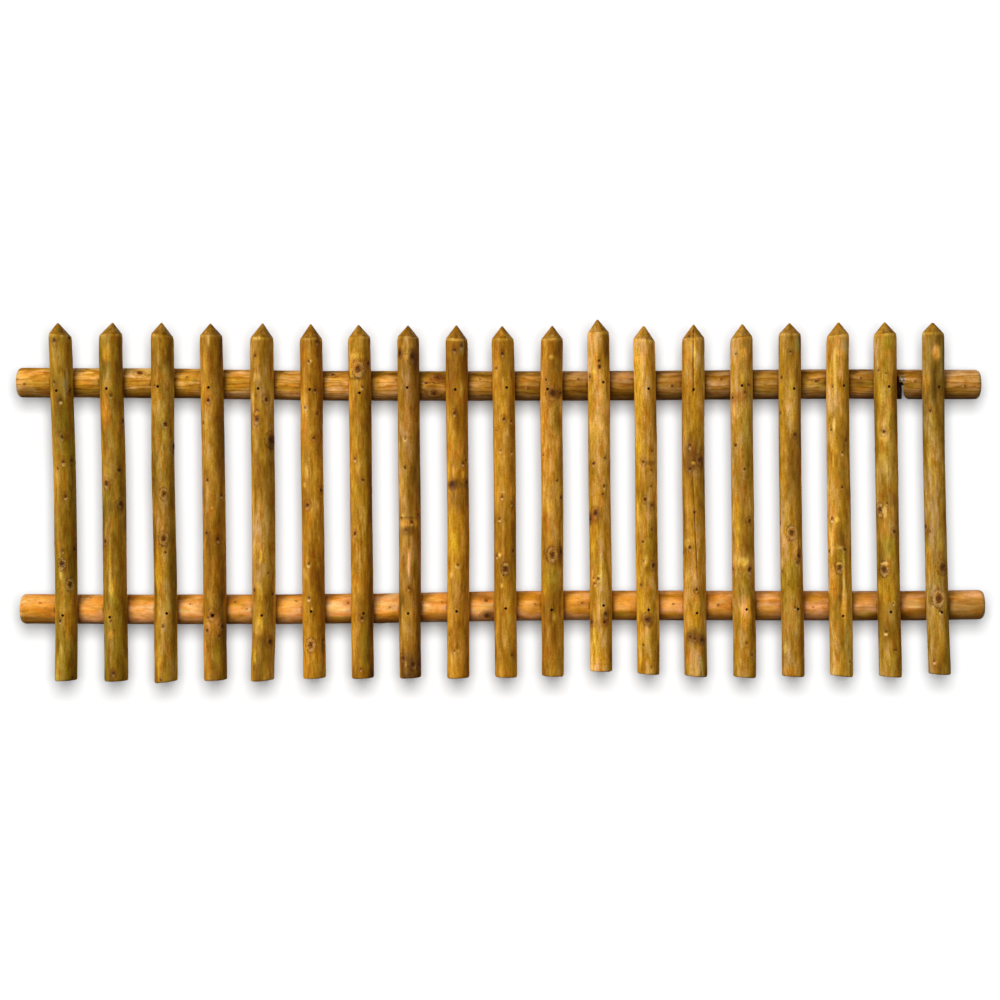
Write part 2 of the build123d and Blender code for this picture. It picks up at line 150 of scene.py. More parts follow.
# knots: column, row, core radius (pixels of the reference view), kind
#   d dark, D dark with a wide stain, r ringed, b large with rings, p pale lip (painted highlight),
#   s soft brown
KNOTS = [
    [(54.5, 340, 1.9, "d"), (69, 337, 1.6, "d"), (54, 382, 1.3, "s"), (69, 390.5, 1.8, "D"),
     (61, 400, 1.6, "p"), (62, 436.5, 1.7, "r"), (71, 460, 1.4, "d"), (63.5, 462, 1.6, "p"),
     (57.3, 468.5, 1.2, "s"), (65.5, 496.5, 1.5, "p"), (63, 550, 1.4, "s"), (73.5, 549, 1.5, "d"),
     (62, 564, 2.1, "b"), (70, 585, 2.2, "b"), (60, 621, 1.4, "r"), (72, 678, 1.3, "d")],
    [(111, 395, 1.5, "s"), (121.5, 421, 1.5, "r"), (119, 470, 1.7, "d"), (106.5, 483, 2.2, "r"),
     (120.4, 503.5, 2.1, "D"), (125, 539, 1.5, "d"), (105, 541, 1.9, "D"), (113.5, 672.6, 1.5, "r"),
     (111, 621, 1.1, "s")],
    [(154.5, 385, 1.0, "s"), (165.5, 424, 1.9, "r"), (164, 494, 2.1, "b"), (164, 538.5, 2.4, "b"),
     (165.5, 552.5, 1.2, "d"), (163, 626, 1.6, "p"), (161, 680, 1.2, "d"), (172, 446, 2.2, "D"),
     (152.5, 480, 1.2, "s")],
    [(208.4, 400.3, 1.6, "r"), (203, 423, 1.2, "d"), (207, 480, 1.4, "d"), (221, 495, 1.3, "p"),
     (206.5, 533, 1.3, "d"), (218, 539, 1.6, "r"), (212, 615, 2.2, "r"), (208, 617.5, 1.1, "d"),
     (222.2, 626.5, 2.1, "D"), (207, 630.5, 1.8, "D"), (219, 636, 1.2, "s")],
    [(255, 355.5, 1.2, "d"), (266.2, 399.5, 1.7, "r"), (257, 418.5, 2.3, "r"), (257, 410, 1.0, "s"),
     (270.8, 440, 3.2, "D"), (254.5, 590, 1.4, "d"), (272, 594, 1.2, "d"), (270, 642, 2.3, "D"),
     (268, 573, 1.3, "s")],
    [(317, 341, 1.7, "s"), (308.7, 361, 1.2, "p"), (315, 390, 1.3, "r"), (305.3, 407.5, 1.3, "p"),
     (317, 413.5, 1.2, "d"), (313.5, 438, 1.3, "r"), (320.5, 490, 1.7, "D"), (307.5, 505, 1.8, "r"),
     (308.8, 563.5, 1.5, "p"), (308.9, 598, 1.4, "p"), (311, 645, 2.4, "b"), (323, 640, 1.3, "s")],
    [(358.4, 369, 2.9, "b"), (367.6, 363, 1.8, "D"), (348.6, 374, 1.4, "D"), (362.3, 387, 1.2, "p"),
     (355, 458.5, 1.4, "p"), (363, 480, 1.3, "r"), (355, 533.5, 1.5, "r"), (362.3, 618, 1.5, "r"),
     (361, 669, 1.0, "p")],
    [(400, 353, 1.8, "D"), (412.8, 356.5, 2.9, "D"), (405.4, 438, 1.3, "p"), (405.2, 467, 1.5, "d"),
     (411.6, 522, 1.5, "r"), (401.6, 518, 1.0, "d"), (418, 515, 1.2, "d"), (409, 588, 1.2, "s"),
     (403, 658.5, 1.9, "D"), (413, 664.5, 2.2, "D"), (418.4, 665, 1.7, "D"), (406, 530, 1.2, "s")],
    [(454.6, 350, 1.5, "r"), (461.5, 345, 2.0, "s"), (454.6, 413, 1.5, "r"), (463, 463, 1.3, "p"),
     (452, 484, 2.4, "D"), (466.5, 482, 1.9, "D"), (458, 565, 1.5, "p"), (449, 635, 1.0, "s"),
     (454.5, 651, 1.1, "p"), (465.6, 460, 1.0, "d")],
    [(502.7, 353.5, 1.4, "r"), (496.4, 368, 1.2, "s"), (504, 418.5, 1.4, "r"), (511.3, 421, 1.1, "p"),
     (496, 430, 1.1, "s"), (500.5, 450.5, 1.2, "p"), (511.5, 452, 1.1, "p"), (502, 496.8, 1.4, "p"),
     (511.6, 503, 1.2, "p"), (499.6, 519, 1.3, "p"), (513, 551, 1.3, "d"), (497, 556, 1.2, "p"),
     (505.6, 569, 2.1, "b"), (512, 655, 1.1, "s")],
    [(546, 379.5, 1.2, "d"), (552.8, 393, 3.1, "D"), (560.3, 393, 1.9, "D"), (543.5, 455, 1.2, "s"),
     (557, 480.5, 1.1, "d"), (561.2, 497, 1.4, "d"), (552.6, 555, 2.7, "b"), (560.6, 552, 1.9, "D")],
    [(599, 360.6, 1.2, "d"), (599.5, 366.5, 1.7, "d"), (590.2, 376.5, 1.5, "D"), (593.7, 463.5, 1.3, "r"),
     (605, 458, 1.0, "d"), (604.2, 486, 1.3, "p"), (603, 494, 1.0, "d"), (595.8, 513, 2.6, "D"),
     (591, 519, 1.9, "D"), (598.6, 578.5, 1.4, "p"), (595, 583.5, 1.1, "p"), (593.8, 578, 1.0, "p"),
     (606, 614, 2.0, "d"), (604.5, 622, 1.6, "D"), (592.3, 622, 2.0, "D")],
    [(652.4, 451, 1.3, "s"), (643.4, 461.5, 1.5, "D"), (651.5, 470, 1.1, "s"), (651, 486, 1.1, "s"),
     (645, 499.5, 1.7, "D"), (651.5, 529.5, 1.1, "s"), (642.8, 541.5, 1.2, "d"), (643.4, 561, 1.2, "s"),
     (653.6, 565.5, 2.0, "D"), (641, 585, 1.1, "s"), (648, 619.5, 2.6, "D"), (643.6, 645, 1.3, "d"),
     (651.3, 667, 1.1, "s"), (652, 505, 1.4, "s")],
    [(693, 330.5, 1.3, "d"), (688.2, 336, 1.2, "s"), (690, 445, 1.9, "r"), (700, 460, 2.2, "D"),
     (690, 468.5, 1.5, "d"), (694.5, 512, 1.2, "d"), (690, 547, 1.7, "r"), (684.2, 553, 1.1, "d"),
     (696.6, 589.5, 1.3, "r"), (690.5, 637, 1.7, "D"), (694.8, 638.5, 1.3, "d"), (702, 640, 1.9, "D")],
    [(736, 353.5, 1.1, "s"), (749, 384.5, 1.3, "d"), (736, 445, 1.4, "d"), (744.4, 469, 1.2, "d"),
     (749.4, 521, 1.7, "D"), (734, 569, 1.8, "D"), (749.6, 569.5, 2.0, "r"), (747, 643, 1.2, "s"),
     (752, 655, 1.2, "s"), (733.4, 397, 1.6, "D"), (745, 392, 1.3, "s")],
    [(790.4, 351.5, 1.2, "d"), (782, 377.5, 1.3, "d"), (781.5, 413, 1.3, "s"), (795, 434.5, 1.7, "D"),
     (781.4, 523, 1.4, "d"), (792, 532.8, 2.5, "b"), (799, 555.5, 2.1, "D"), (783, 571.5, 1.1, "d"),
     (795, 607, 1.2, "p"), (797, 562.5, 1.4, "s")],
    [(833, 386.5, 1.2, "s"), (831.6, 429.5, 1.2, "s"), (846, 440, 1.5, "s"), (842, 487, 1.2, "d"),
     (832.6, 519, 1.5, "p"), (830.4, 551.5, 1.4, "d"), (844.6, 549, 1.5, "d"), (839.6, 567.4, 2.0, "b"),
     (850, 662, 1.0, "p"), (842.2, 452.4, 1.2, "p")],
    [(879, 370, 1.2, "s"), (886, 373, 1.1, "s"), (884, 431.6, 1.6, "r"), (880.6, 510, 2.3, "b"),
     (894.4, 531.8, 1.8, "D"), (884.6, 569.4, 2.5, "b"), (886.4, 631.8, 1.5, "p"), (887, 503, 1.1, "s"),
     (893.4, 603, 1.1, "p"), (896, 650, 1.1, "s")],
    [(930.3, 410.6, 1.1, "d"), (927.2, 526.8, 1.8, "d"), (930.6, 531.5, 1.1, "s"), (943.2, 567.5, 3.0, "D"),
     (939, 598.6, 2.9, "b"), (940.4, 611, 1.2, "p"), (934.8, 661.3, 1.3, "p")],
]

# patches of stain: column, row, half-width, half-height, stain, strength; some small cream spots, under knots and at
# the top of the fifth picket, are painted highlights
PATCHES = [
    [(63, 372, 4, 30, "tan", .35), (66, 384, 4, 14, "grey", .35), (70, 620, 5, 26, "honey", .5),
     (74, 540, 4, 24, "red", .35), (61, 652, 2.2, 10, "cream", .3), (60.5, 573, 2.4, 7, "cream", .35),
     (62, 604, 4, 8, "tan", .45), (57, 355, 4, 18, "tan", .3), (66, 498.4, 1.4, 1.2, "cream", .9),
     (61, 403, 2.2, 1.6, "cream", .5), (64, 464.4, 1.8, 1.4, "cream", .5), (75, 610, 3, 60, "umber", .4)],
    [(107, 354, 5, 9, "gold", .8), (107, 384, 5, 12, "tan", .7), (104.5, 410, 6, 20, "orange", .75),
     (106, 474, 5, 8, "tan", .7), (119, 508, 7, 8, "umber", .55), (110.4, 575, 1.4, 30, "cream", .6),
     (111, 590, 3, 7, "cream", .6), (113, 603, 5, 5, "green", .6), (111.5, 635, 3.5, 4.5, "peach", .75),
     (113, 639.5, 2.5, 1.5, "brown", .6), (111, 655, 1.6, 16, "tan", .6), (107, 530, 4, 14, "tan", .4),
     (105, 556, 4, 12, "brown", .4), (118, 640, 8, 40, "olive", .5), (108, 615, 5, 8, "gold", .5)],
    [(156, 368, 3, 22, "brown", .55), (158.5, 356, 1.6, 9, "tan", .8), (167, 362, 5, 9, "umber", .45),
     (165, 378, 6, 9, "tan", .6), (170, 340, 5, 7, "brown", .6), (172.6, 449, 3.4, 8, "umber", .9),
     (158.5, 570, 5, 26, "yellow", .75), (158, 640, 4, 34, "yellow", .4), (166.5, 546, 1.6, 4, "umber", .6),
     (157, 400, 3, 20, "tan", .5), (168, 420, 5, 40, "tan", .35), (173, 500, 3, 40, "olive", .6)],
    [(208.5, 340, 1.4, 7, "cream", .6), (205, 360, 4, 14, "gold", .55), (206, 396, 4, 14, "gold", .6),
     (216, 338, 5, 8, "brown", .6), (205, 550, 2, 14, "orange", .6), (212, 508.4, 1.3, 1.3, "cream", .6),
     (213, 625, 8, 13, "peach", .35), (206, 440, 4, 30, "tan", .5), (215, 580, 8, 12, "orange", .25),
     (218, 655, 6, 16, "olive", .45), (221, 497.6, 1.6, 1, "cream", .5)],
    [(258, 338, 2, 2.2, "cream", .95), (256, 352, 5, 16, "honey", .45), (257, 377, 3.4, 3.6, "cream", .35),
     (271, 441, 5, 11, "umber", .85), (257, 413.4, 3, 1.4, "cream", .6), (264, 457, 2, 9, "cream", .3),
     (260.5, 556, 1.3, 8, "cream", .85), (259, 609, 4.4, 27, "gold", .85), (259.5, 592, 3, 10, "cream", .45),
     (259, 628, 5, 8, "cream", .35), (268, 640, 6, 6, "umber", .4), (263, 652, 8, 15, "brown", .25),
     (255, 655, 1.5, 8, "cream", .6), (270, 605, 5, 30, "brown", .35), (267, 395, 4, 6, "brown", .4)],
    [(318, 341, 3.2, 7, "brown", .55), (311.2, 361, 1.5, 1.6, "cream", .6), (305.6, 408, 1.8, 1.8, "cream", .95),
     (306, 472, 2.2, 9, "cream", .4), (304, 485, 2.2, 3.5, "cream", .4), (321, 398, 3, 12, "brown", .6),
     (311, 506, 6, 6, "tan", .5), (308.6, 566.3, 2, 1.5, "cream", .9), (308.9, 600, 2.2, 1.5, "cream", .9),
     (312, 609.6, 1.2, 3, "cream", .6), (315, 663, 3, 4, "tan", .6), (306, 667, 3.4, 12, "orange", .65),
     (319.5, 621, 3.4, 5, "orange", .6), (322.5, 644, 2, 9, "dark", .5), (311, 530, 6, 30, "gold", .35)],
    [(360, 346, 9, 9, "tan", .6), (358, 356, 7, 3.5, "cream", .35), (353, 364, 4, 7, "orange", .55),
     (356, 378.4, 9, 1.3, "umber", .75), (360, 470, 10, 92, "olive", .35), (361, 388.6, 1.6, 2.4, "cream", .6),
     (354.6, 459.4, 1.8, 1.7, "cream", .85), (361, 540, 1.2, 22, "brown", .75), (364.3, 537, 2, 24, "tan", .7),
     (353, 430, 4, 40, "gold", .5), (354, 630, 4, 40, "gold", .4), (365, 640, 6, 30, "olive", .4)],
    [(407, 344, 10, 7, "tan", .5), (406, 356, 3, 6, "cream", .4), (413.6, 357, 5, 8, "umber", .7),
     (399.6, 353, 2.6, 5.5, "dark", .8), (405, 439.4, 2, 2, "cream", .75), (403, 515.6, 2.3, 2, "cream", .55),
     (409, 523.4, 11, 3.8, "peach", .6), (409, 517.6, 11, 1.2, "umber", .55), (409, 531, 11, 5, "umber", .6),
     (408.5, 562, 1.2, 14, "peach", .85), (403.4, 618, 3.6, 18, "tan", .75), (411, 666, 14, 14, "umber", .85),
     (405.8, 664, 1.7, 4, "pink", .6), (415, 668, 1.6, 4, "pink", .5), (410, 677, 13, 5, "dark", .6),
     (404.6, 480, 3.4, 40, "tan", .45), (411, 400, 1.4, 30, "brown", .45)],
    [(456.6, 327, 1.3, 2, "umber", .8), (457, 331, 5, 4, "orange", .6), (459, 340, 6, 1.2, "cream", .5),
     (462, 346, 3.4, 8, "grey", .45), (461, 390, 1.5, 8, "cream", .45), (453.6, 472, 1.6, 6, "peach", .9),
     (463, 474, 1.6, 4, "cream", .5), (457, 484.5, 13, 5, "umber", .75), (452, 486, 4.5, 5, "dark", .7),
     (457, 502, 13, 14, "brown", .7), (454, 535, 6, 30, "yellow", .75), (458, 566.4, 2.6, 1.8, "cream", .7),
     (451, 575, 2, 3, "cream", .45), (457.4, 651, 2, 1.4, "cream", .5), (452, 430, 3, 25, "gold", .6),
     (451, 660, 2, 6, "cream", .35)],
    [(502, 328, 1.8, 2, "dark", .85), (501, 332, 7, 4, "orange", .6), (497, 356, 4.6, 22, "orange", .55),
     (505, 420, 4, 40, "tan", .3), (500.4, 451.6, 1.8, 1.4, "cream", .8), (511.6, 453, 1.5, 1.6, "cream", .6),
     (502, 498.6, 2, 1.4, "cream", .85), (502.4, 492, 3, 1.2, "cream", .4), (511.5, 504, 1.5, 1.5, "cream", .6),
     (499.6, 520.4, 2.2, 1.3, "cream", .85), (503.4, 542, 1.4, 20, "tan", .75), (499.5, 555, 2.3, 2, "cream", .75),
     (505.5, 564.3, 3, 1.2, "cream", .9), (502, 586, 1.5, 2, "cream", .6), (499, 470, 4, 30, "yellow", .35),
     (497.6, 600, 3, 60, "gold", .5)],
    [(553, 337, 6, 2.6, "cream", .4), (551.6, 357, 3, 2.2, "cream", .5), (555, 394, 8, 6, "umber", .75),
     (553, 404, 9, 4.6, "brown", .55), (557, 420, 5, 16, "olive", .6), (546.6, 522, 4.4, 24, "orange", .45),
     (547, 486, 4.6, 6, "cream", .22), (549, 505, 4.6, 8, "cream", .22), (560.6, 556, 2.8, 14, "umber", .8),
     (551, 577, 10, 14, "olive", .6), (546, 580, 3, 20, "yellow", .4), (555, 616, 2.4, 5, "cream", .3),
     (550.6, 650, 1.4, 20, "brown", .35), (545, 350, 3, 20, "gold", .4)],
    [(596, 350, 1.8, 22, "peach", .5), (603, 349, 4.5, 7, "red", .3), (596, 372, 6, 2, "cream", .3),
     (594.5, 420, 5, 40, "gold", .35), (604.2, 489.6, 1.3, 1.6, "cream", .8), (596, 515, 6, 8, "red", .5),
     (590.6, 519, 2.4, 8, "dark", .65), (595.6, 518, 1.3, 2, "pink", .7), (594, 542, 5, 16, "yellow", .5),
     (601, 572, 1.3, 20, "cream", .8), (599, 576, 1.8, 1.7, "cream", .7), (594, 580, 1.7, 1.7, "cream", .6),
     (606, 617, 4, 8, "umber", .55), (592, 622, 2.8, 7, "red", .65), (600, 625, 10, 5, "brown", .45),
     (600, 664, 10, 1.1, "orange", .6), (594, 640, 2, 14, "cream", .35), (607, 440, 3, 50, "tan", .4)],
    [(639, 420, 4.8, 86, "yellow", .7), (639, 600, 4.8, 78, "yellow", .65), (640, 345, 5, 9, "tan", .5),
     (651, 420, 5.6, 90, "pink", .5), (645.6, 430, 1.1, 100, "brown", .35), (651, 463, 6, 2.6, "umber", .6),
     (652, 506, 5, 5, "umber", .55), (652, 565, 5, 6, "brown", .45), (648, 620, 7, 7, "umber", .65),
     (641, 618, 3, 6, "red", .4), (646, 560, 2, 6, "cream", .5), (653, 640, 5, 26, "olive", .45),
     (651, 540, 4, 14, "olive", .3), (652.4, 610, 3, 6, "tan", .4)],
    [(690, 334, 6, 5, "brown", .6), (694.8, 360, 1.6, 22, "cream", .5), (694, 404, 7, 30, "gold", .55),
     (687, 400, 2.2, 30, "tan", .4), (693, 459, 12, 15, "umber", .72), (701.4, 461, 2.6, 10, "dark", .65),
     (693.4, 463, 2.6, 1.1, "cream", .7), (690, 444, 4, 2.4, "cream", .3), (688, 520, 3.6, 45, "honey", .4),
     (687.5, 544, 4, 5, "cream", .4), (696.2, 611, 1.2, 16, "cream", .85), (694, 612, 8, 18, "gold", .6),
     (694, 637, 12, 8, "umber", .62), (702, 641, 3.6, 6, "dark", .55), (688, 655, 3, 8, "orange", .6),
     (700, 658.6, 1.7, 1.8, "ash", .95), (700.5, 663, 1.4, 1.6, "cream", .8), (701, 669, 3, 10, "grey", .6),
     (699, 535, 3, 50, "brown", .3)],
    [(743.6, 352, 3, 5, "peach", .9), (741, 370, 7, 20, "tan", .4), (736, 353.4, 1.6, 3, "grey", .6),
     (741.7, 379, 2, 4, "cream", .45), (742, 396.6, 11, 6, "brown", .75), (733.6, 400, 3.4, 6, "red", .5),
     (738, 430, 3.2, 28, "tan", .8), (748, 440, 6, 46, "olive", .45), (737.6, 525, 3.2, 38, "yellow", .65),
     (750.4, 484, 1.8, 6, "olive", .8), (743, 562, 5, 4.6, "cream", .6), (742, 586, 10, 14, "olive", .45),
     (746.4, 612, 5.6, 15, "peach", .72), (748, 650, 6, 24, "tan", .4), (738, 655, 4, 22, "gold", .4),
     (750, 570, 3, 5, "brown", .6)],
    [(797.6, 345, 4, 8, "grey", .6), (783, 400, 3.6, 60, "yellow", .4), (791, 395, 4, 30, "cream", .22),
     (795, 440, 6, 8, "umber", .5), (796, 466, 6, 26, "brown", .38), (784, 465, 4, 40, "gold", .5),
     (799.4, 557, 3, 9, "umber", .8), (790, 580, 11, 26, "olive", .55), (794.6, 607, 2, 2, "yellow", .9),
     (786, 648, 3.2, 6, "cream", .45), (787, 512, 4, 14, "cream", .25), (789, 671, 10, 6, "orange", .55),
     (800, 540, 2.2, 5, "pink", .6)],
    [(835, 376, 1.6, 34, "cream", .5), (841, 380, 2.2, 30, "peach", .4), (847, 344, 4, 7, "grey", .5),
     (840, 352.6, 3, 4, "peach", .6), (834, 424, 1.8, 6, "cream", .6), (846.6, 440, 3, 10, "brown", .4),
     (837, 520, 2.6, 3, "cream", .5), (838, 547.4, 8, 1.6, "cream", .3), (838, 558, 9, 8, "olive", .45),
     (838.4, 563.4, 3, 1.4, "cream", .9), (844, 590, 1.6, 34, "cream", .65), (844.4, 608, 3.6, 14, "peach", .7),
     (834, 586, 5, 16, "orange", .5), (834, 589.4, 6, 1, "brown", .6), (848, 500, 3, 60, "tan", .5),
     (848, 650, 3.4, 26, "grey", .4), (836, 470, 4, 40, "gold", .35)],
    [(888.6, 344, 6, 8, "olive", .8), (890, 354, 5, 6, "orange", .5), (886, 420, 5, 60, "cream", .16),
     (880, 400, 3, 60, "yellow", .35), (884, 437, 3.4, 6, "cream", .5), (894, 500, 5, 8, "umber", .5),
     (884.6, 512, 2, 6, "cream", .6), (884, 528, 4, 10, "orange", .4), (889, 546, 9, 12, "olive", .72),
     (884.6, 563.6, 4, 1.5, "cream", .95), (886, 590, 8, 16, "yellow", .45), (886.6, 634, 2.2, 1.6, "cream", .95),
     (893.6, 603, 1.6, 1.8, "cream", .6), (892, 665, 8, 14, "olive", .4), (894, 525, 4, 10, "brown", .4)],
    [(937, 353, 5, 8, "peach", .55), (927, 380, 5, 12, "orange", .35), (942, 358, 2.4, 20, "grey", .45),
     (932, 440, 5, 44, "cream", .18), (941, 430, 4, 60, "brown", .35), (943, 568, 4.6, 8, "umber", .85),
     (947, 580, 3, 12, "brown", .5), (945, 600, 4, 10, "tan", .7), (932, 601, 2.2, 6, "umber", .6),
     (940.6, 613.6, 1.8, 1.5, "cream", .9), (935, 662.4, 2, 1.5, "cream", .7), (940, 640, 5, 26, "gold", .3),
     (929, 565, 4, 20, "gold", .4)],
]

# the round rails: knots and patches, same columns
TOP_KNOTS = [(139, 373, 2.6, "r"), (437.5, 377.5, 3.0, "D"), (434, 393, 3.2, "D"), (426, 383, 1.6, "r"), (333, 374.5, 1.8, "b"), (24, 384, 1.1, "p"),
             (187, 377, 1.3, "s"), (480, 379, 1.4, "s"), (528, 388, 1.2, "s"), (578, 379, 1.3, "d"),
             (672, 386, 1.5, "r"), (721, 379, 1.3, "s"), (816, 381, 1.4, "r"), (861, 378, 1.2, "s"),
             (915, 381, 1.4, "s"), (965, 386, 1.3, "s")]
TOP_PATCHES = [(33, 372, 20, 5, "salmon", .5), (33, 391, 20, 6, "umber", .45), (87, 380, 12, 3, "peach", .55),
               (87, 391, 14, 3.4, "olive", .6), (137, 380, 12, 3, "gold", .7), (139, 372, 4, 2, "red", .6),
               (139, 391, 14, 4, "brown", .45), (187, 372, 13, 3, "orange", .4), (187, 380.4, 3, 4, "yellow", .8),
               (187.6, 388, 2.4, 4, "yellow", .6), (195, 381, 3, 3, "green", .6), (236, 378, 12, 5, "gold", .5),
               (286, 380, 13, 5, "tan", .5), (333, 374.6, 7, 2.4, "tan", .6), (338, 385, 10, 5, "honey", .5),
               (384, 379, 12, 6, "peach", .35), (385, 388, 12, 3, "honey", .4), (436, 379, 9, 6, "red", .65), (431, 391, 8, 5, "umber", .55), (441, 387, 4, 3, "peach", .5),
               (432, 378, 6, 5, "orange", .5), (482, 382, 12, 7, "honey", .4), (528, 378, 12, 4, "salmon", .35),
               (574, 386, 14, 8, "brown", .45), (623, 384, 13, 8, "brown", .3), (670, 378, 12, 5, "pink", .35),
               (719, 380, 12, 6, "honey", .35), (766, 379, 12, 6, "tan", .35), (768, 391, 12, 4, "green", .4),
               (816, 376, 9, 3, "peach", .4), (812, 384, 6, 3, "cream", .3), (822, 387, 6, 5, "green", .5),
               (861, 376, 12, 4, "pink", .4), (868, 384, 6, 5, "green", .5), (860, 390, 8, 3, "honey", .4),
               (912, 378, 8, 4, "pink", .4), (908, 386, 8, 3, "green", .3), (964, 378, 16, 6, "tan", .3),
               (964, 390, 18, 5, "brown", .4)]
BOTTOM_KNOTS = [(348, 603, 1.5, "s"), (486, 600.5, 2.2, "s"), (487, 616, 3.0, "D"), (235, 602, 1.3, "s"),
                (247, 609, 1.0, "s"), (296, 601, 1.1, "s"), (442, 602, 1.1, "s"), (535, 604, 1.1, "s"),
                (582, 603, 1.4, "s"), (673, 604, 1.2, "s"), (718, 605, 1.2, "s"), (813, 607, 1.1, "s"),
                (40, 603, 1.1, "s"), (190, 604, 1.0, "s"), (90, 598, 1.0, "s"), (390, 607, 1.0, "s")]
# the pale peach and pink spots in the middle of the bays are painted highlights, where the rail is brightest between
# the pickets
BOTTOM_PATCHES = [(32, 612, 22, 3, "orange", .5), (30, 619, 22, 3, "brown", .45), (40, 603, 8, 5, "peach", .5),
                  (85, 606, 9, 4, "peach", .6), (88, 616, 12, 2.6, "gold", .5), (136, 604, 9, 5, "peach", .5),
                  (187, 605, 10, 5, "peach", .45), (240, 606, 8, 4, "gold", .45), (288, 608, 9, 5, "peach", .45),
                  (335, 610, 9, 2, "cream", .35), (346, 604, 5, 5, "pink", .45), (340, 618, 10, 2, "green", .35),
                  (384, 606, 9, 5, "peach", .45), (434, 609, 7, 4, "peach", .6), (434, 602, 10, 4, "pink", .3),
                  (484, 597, 9, 5, "red", .5), (478, 606, 8, 5, "peach", .4), (488, 614, 8, 6, "umber", .75),
                  (486, 608, 4, 3, "cream", .35), (530, 605, 8, 5, "peach", .5), (583, 603, 10, 5, "pink", .35),
                  (622, 607, 9, 4, "peach", .5), (622, 614, 10, 4, "olive", .4), (672, 605, 9, 5, "peach", .45),
                  (668, 615, 8, 4, "orange", .5), (718, 603, 10, 5, "pink", .4), (766, 605, 10, 6, "honey", .3),
                  (815, 600, 10, 6, "orange", .2), (863, 600, 11, 6, "salmon", .3), (866, 607.4, 12, 1.2, "umber", .4),
                  (864, 613, 11, 5, "olive", .35), (912, 602, 9, 4, "tan", .5), (912, 607, 10, 1.2, "cream", .4),
                  (912, 613, 11, 4, "brown", .4), (965, 606, 20, 10, "grey", .22), (965, 615, 20, 4, "brown", .4)]

# how light each rail is: left part, right part, and where along it the one fades into the other
TOP_FADE = (1.45, 0.68, 0.20, 0.65)
BOTTOM_FADE = (1.08, 0.60, 0.55, 0.95)


# ------------------------------------------------------------- small functions
def step(a, b, x):
    """Smooth step from 0 at a to 1 at b, which may run either way."""
    t = np.clip((x - a) / (b - a), 0.0, 1.0)
    return t * t * (3.0 - 2.0 * t)


def lattice(ix, iy, seed):
    h = (ix * 374761393 + iy * 668265263 + seed * 974634777) & 0xFFFFFFFF
    h = ((h ^ (h >> 13)) * 1274126177) & 0xFFFFFFFF
    return ((h ^ (h >> 16)) & 0xFFFF) / 32767.5 - 1.0


def noise(x, y, seed):
    """Smooth value noise from -1 to 1, one bump for each unit."""
    x, y = np.broadcast_arrays(np.asarray(x, float), np.asarray(y, float))
    ix, iy = np.floor(x).astype(np.int64), np.floor(y).astype(np.int64)
    fx, fy = x - ix, y - iy
    fx, fy = fx * fx * (3 - 2 * fx), fy * fy * (3 - 2 * fy)
    low = lattice(ix, iy, seed) * (1 - fx) + lattice(ix + 1, iy, seed) * fx
    high = lattice(ix, iy + 1, seed) * (1 - fx) + lattice(ix + 1, iy + 1, seed) * fx
    return low * (1 - fy) + high * fy


def fractal(x, y, seed, octaves=3):
    out, gain, size = 0.0, 1.0, 0.0
    for k in range(octaves):
        out = out + gain * noise(x * 2 ** k + 17.3 * k, y * 2 ** k - 9.1 * k, seed + 31 * k)
        size += gain
        gain *= 0.5
    return out / size


# core darkness, pale lip (a painted highlight below the knot), outer line, raised height, rings
KIND = {"d": (1.0, 0.25, 0.10, 0.30, 0.0), "D": (1.0, 0.10, 0.70, 0.60, 0.4),
        "r": (1.0, 0.45, 0.55, 0.50, 0.3), "b": (0.92, 0.25, 1.00, 0.85, 1.0),
        "p": (0.80, 1.00, 0.08, 0.45, 0.0), "s": (0.75, 0.35, 0.10, 0.20, 0)}
LAYERS = 4
REACH = 3.0              # a knot is drawn out to this many core radii


def knot_layers(knots):
    """Shares the knots out over layers so that within one layer they stay apart."""
    layers = [[] for _ in range(LAYERS)]
    for k in sorted(knots, key=lambda k: -k[2]):
        def room(layer):
            return min([math.hypot(k[0] - o[0], k[1] - o[1]) - REACH * (k[2] + o[2]) - 5.0
                        for o in layer] or [1e9])
        best = max(layers, key=room)
        if room(best) > 0:
            best.append(k)
    return layers


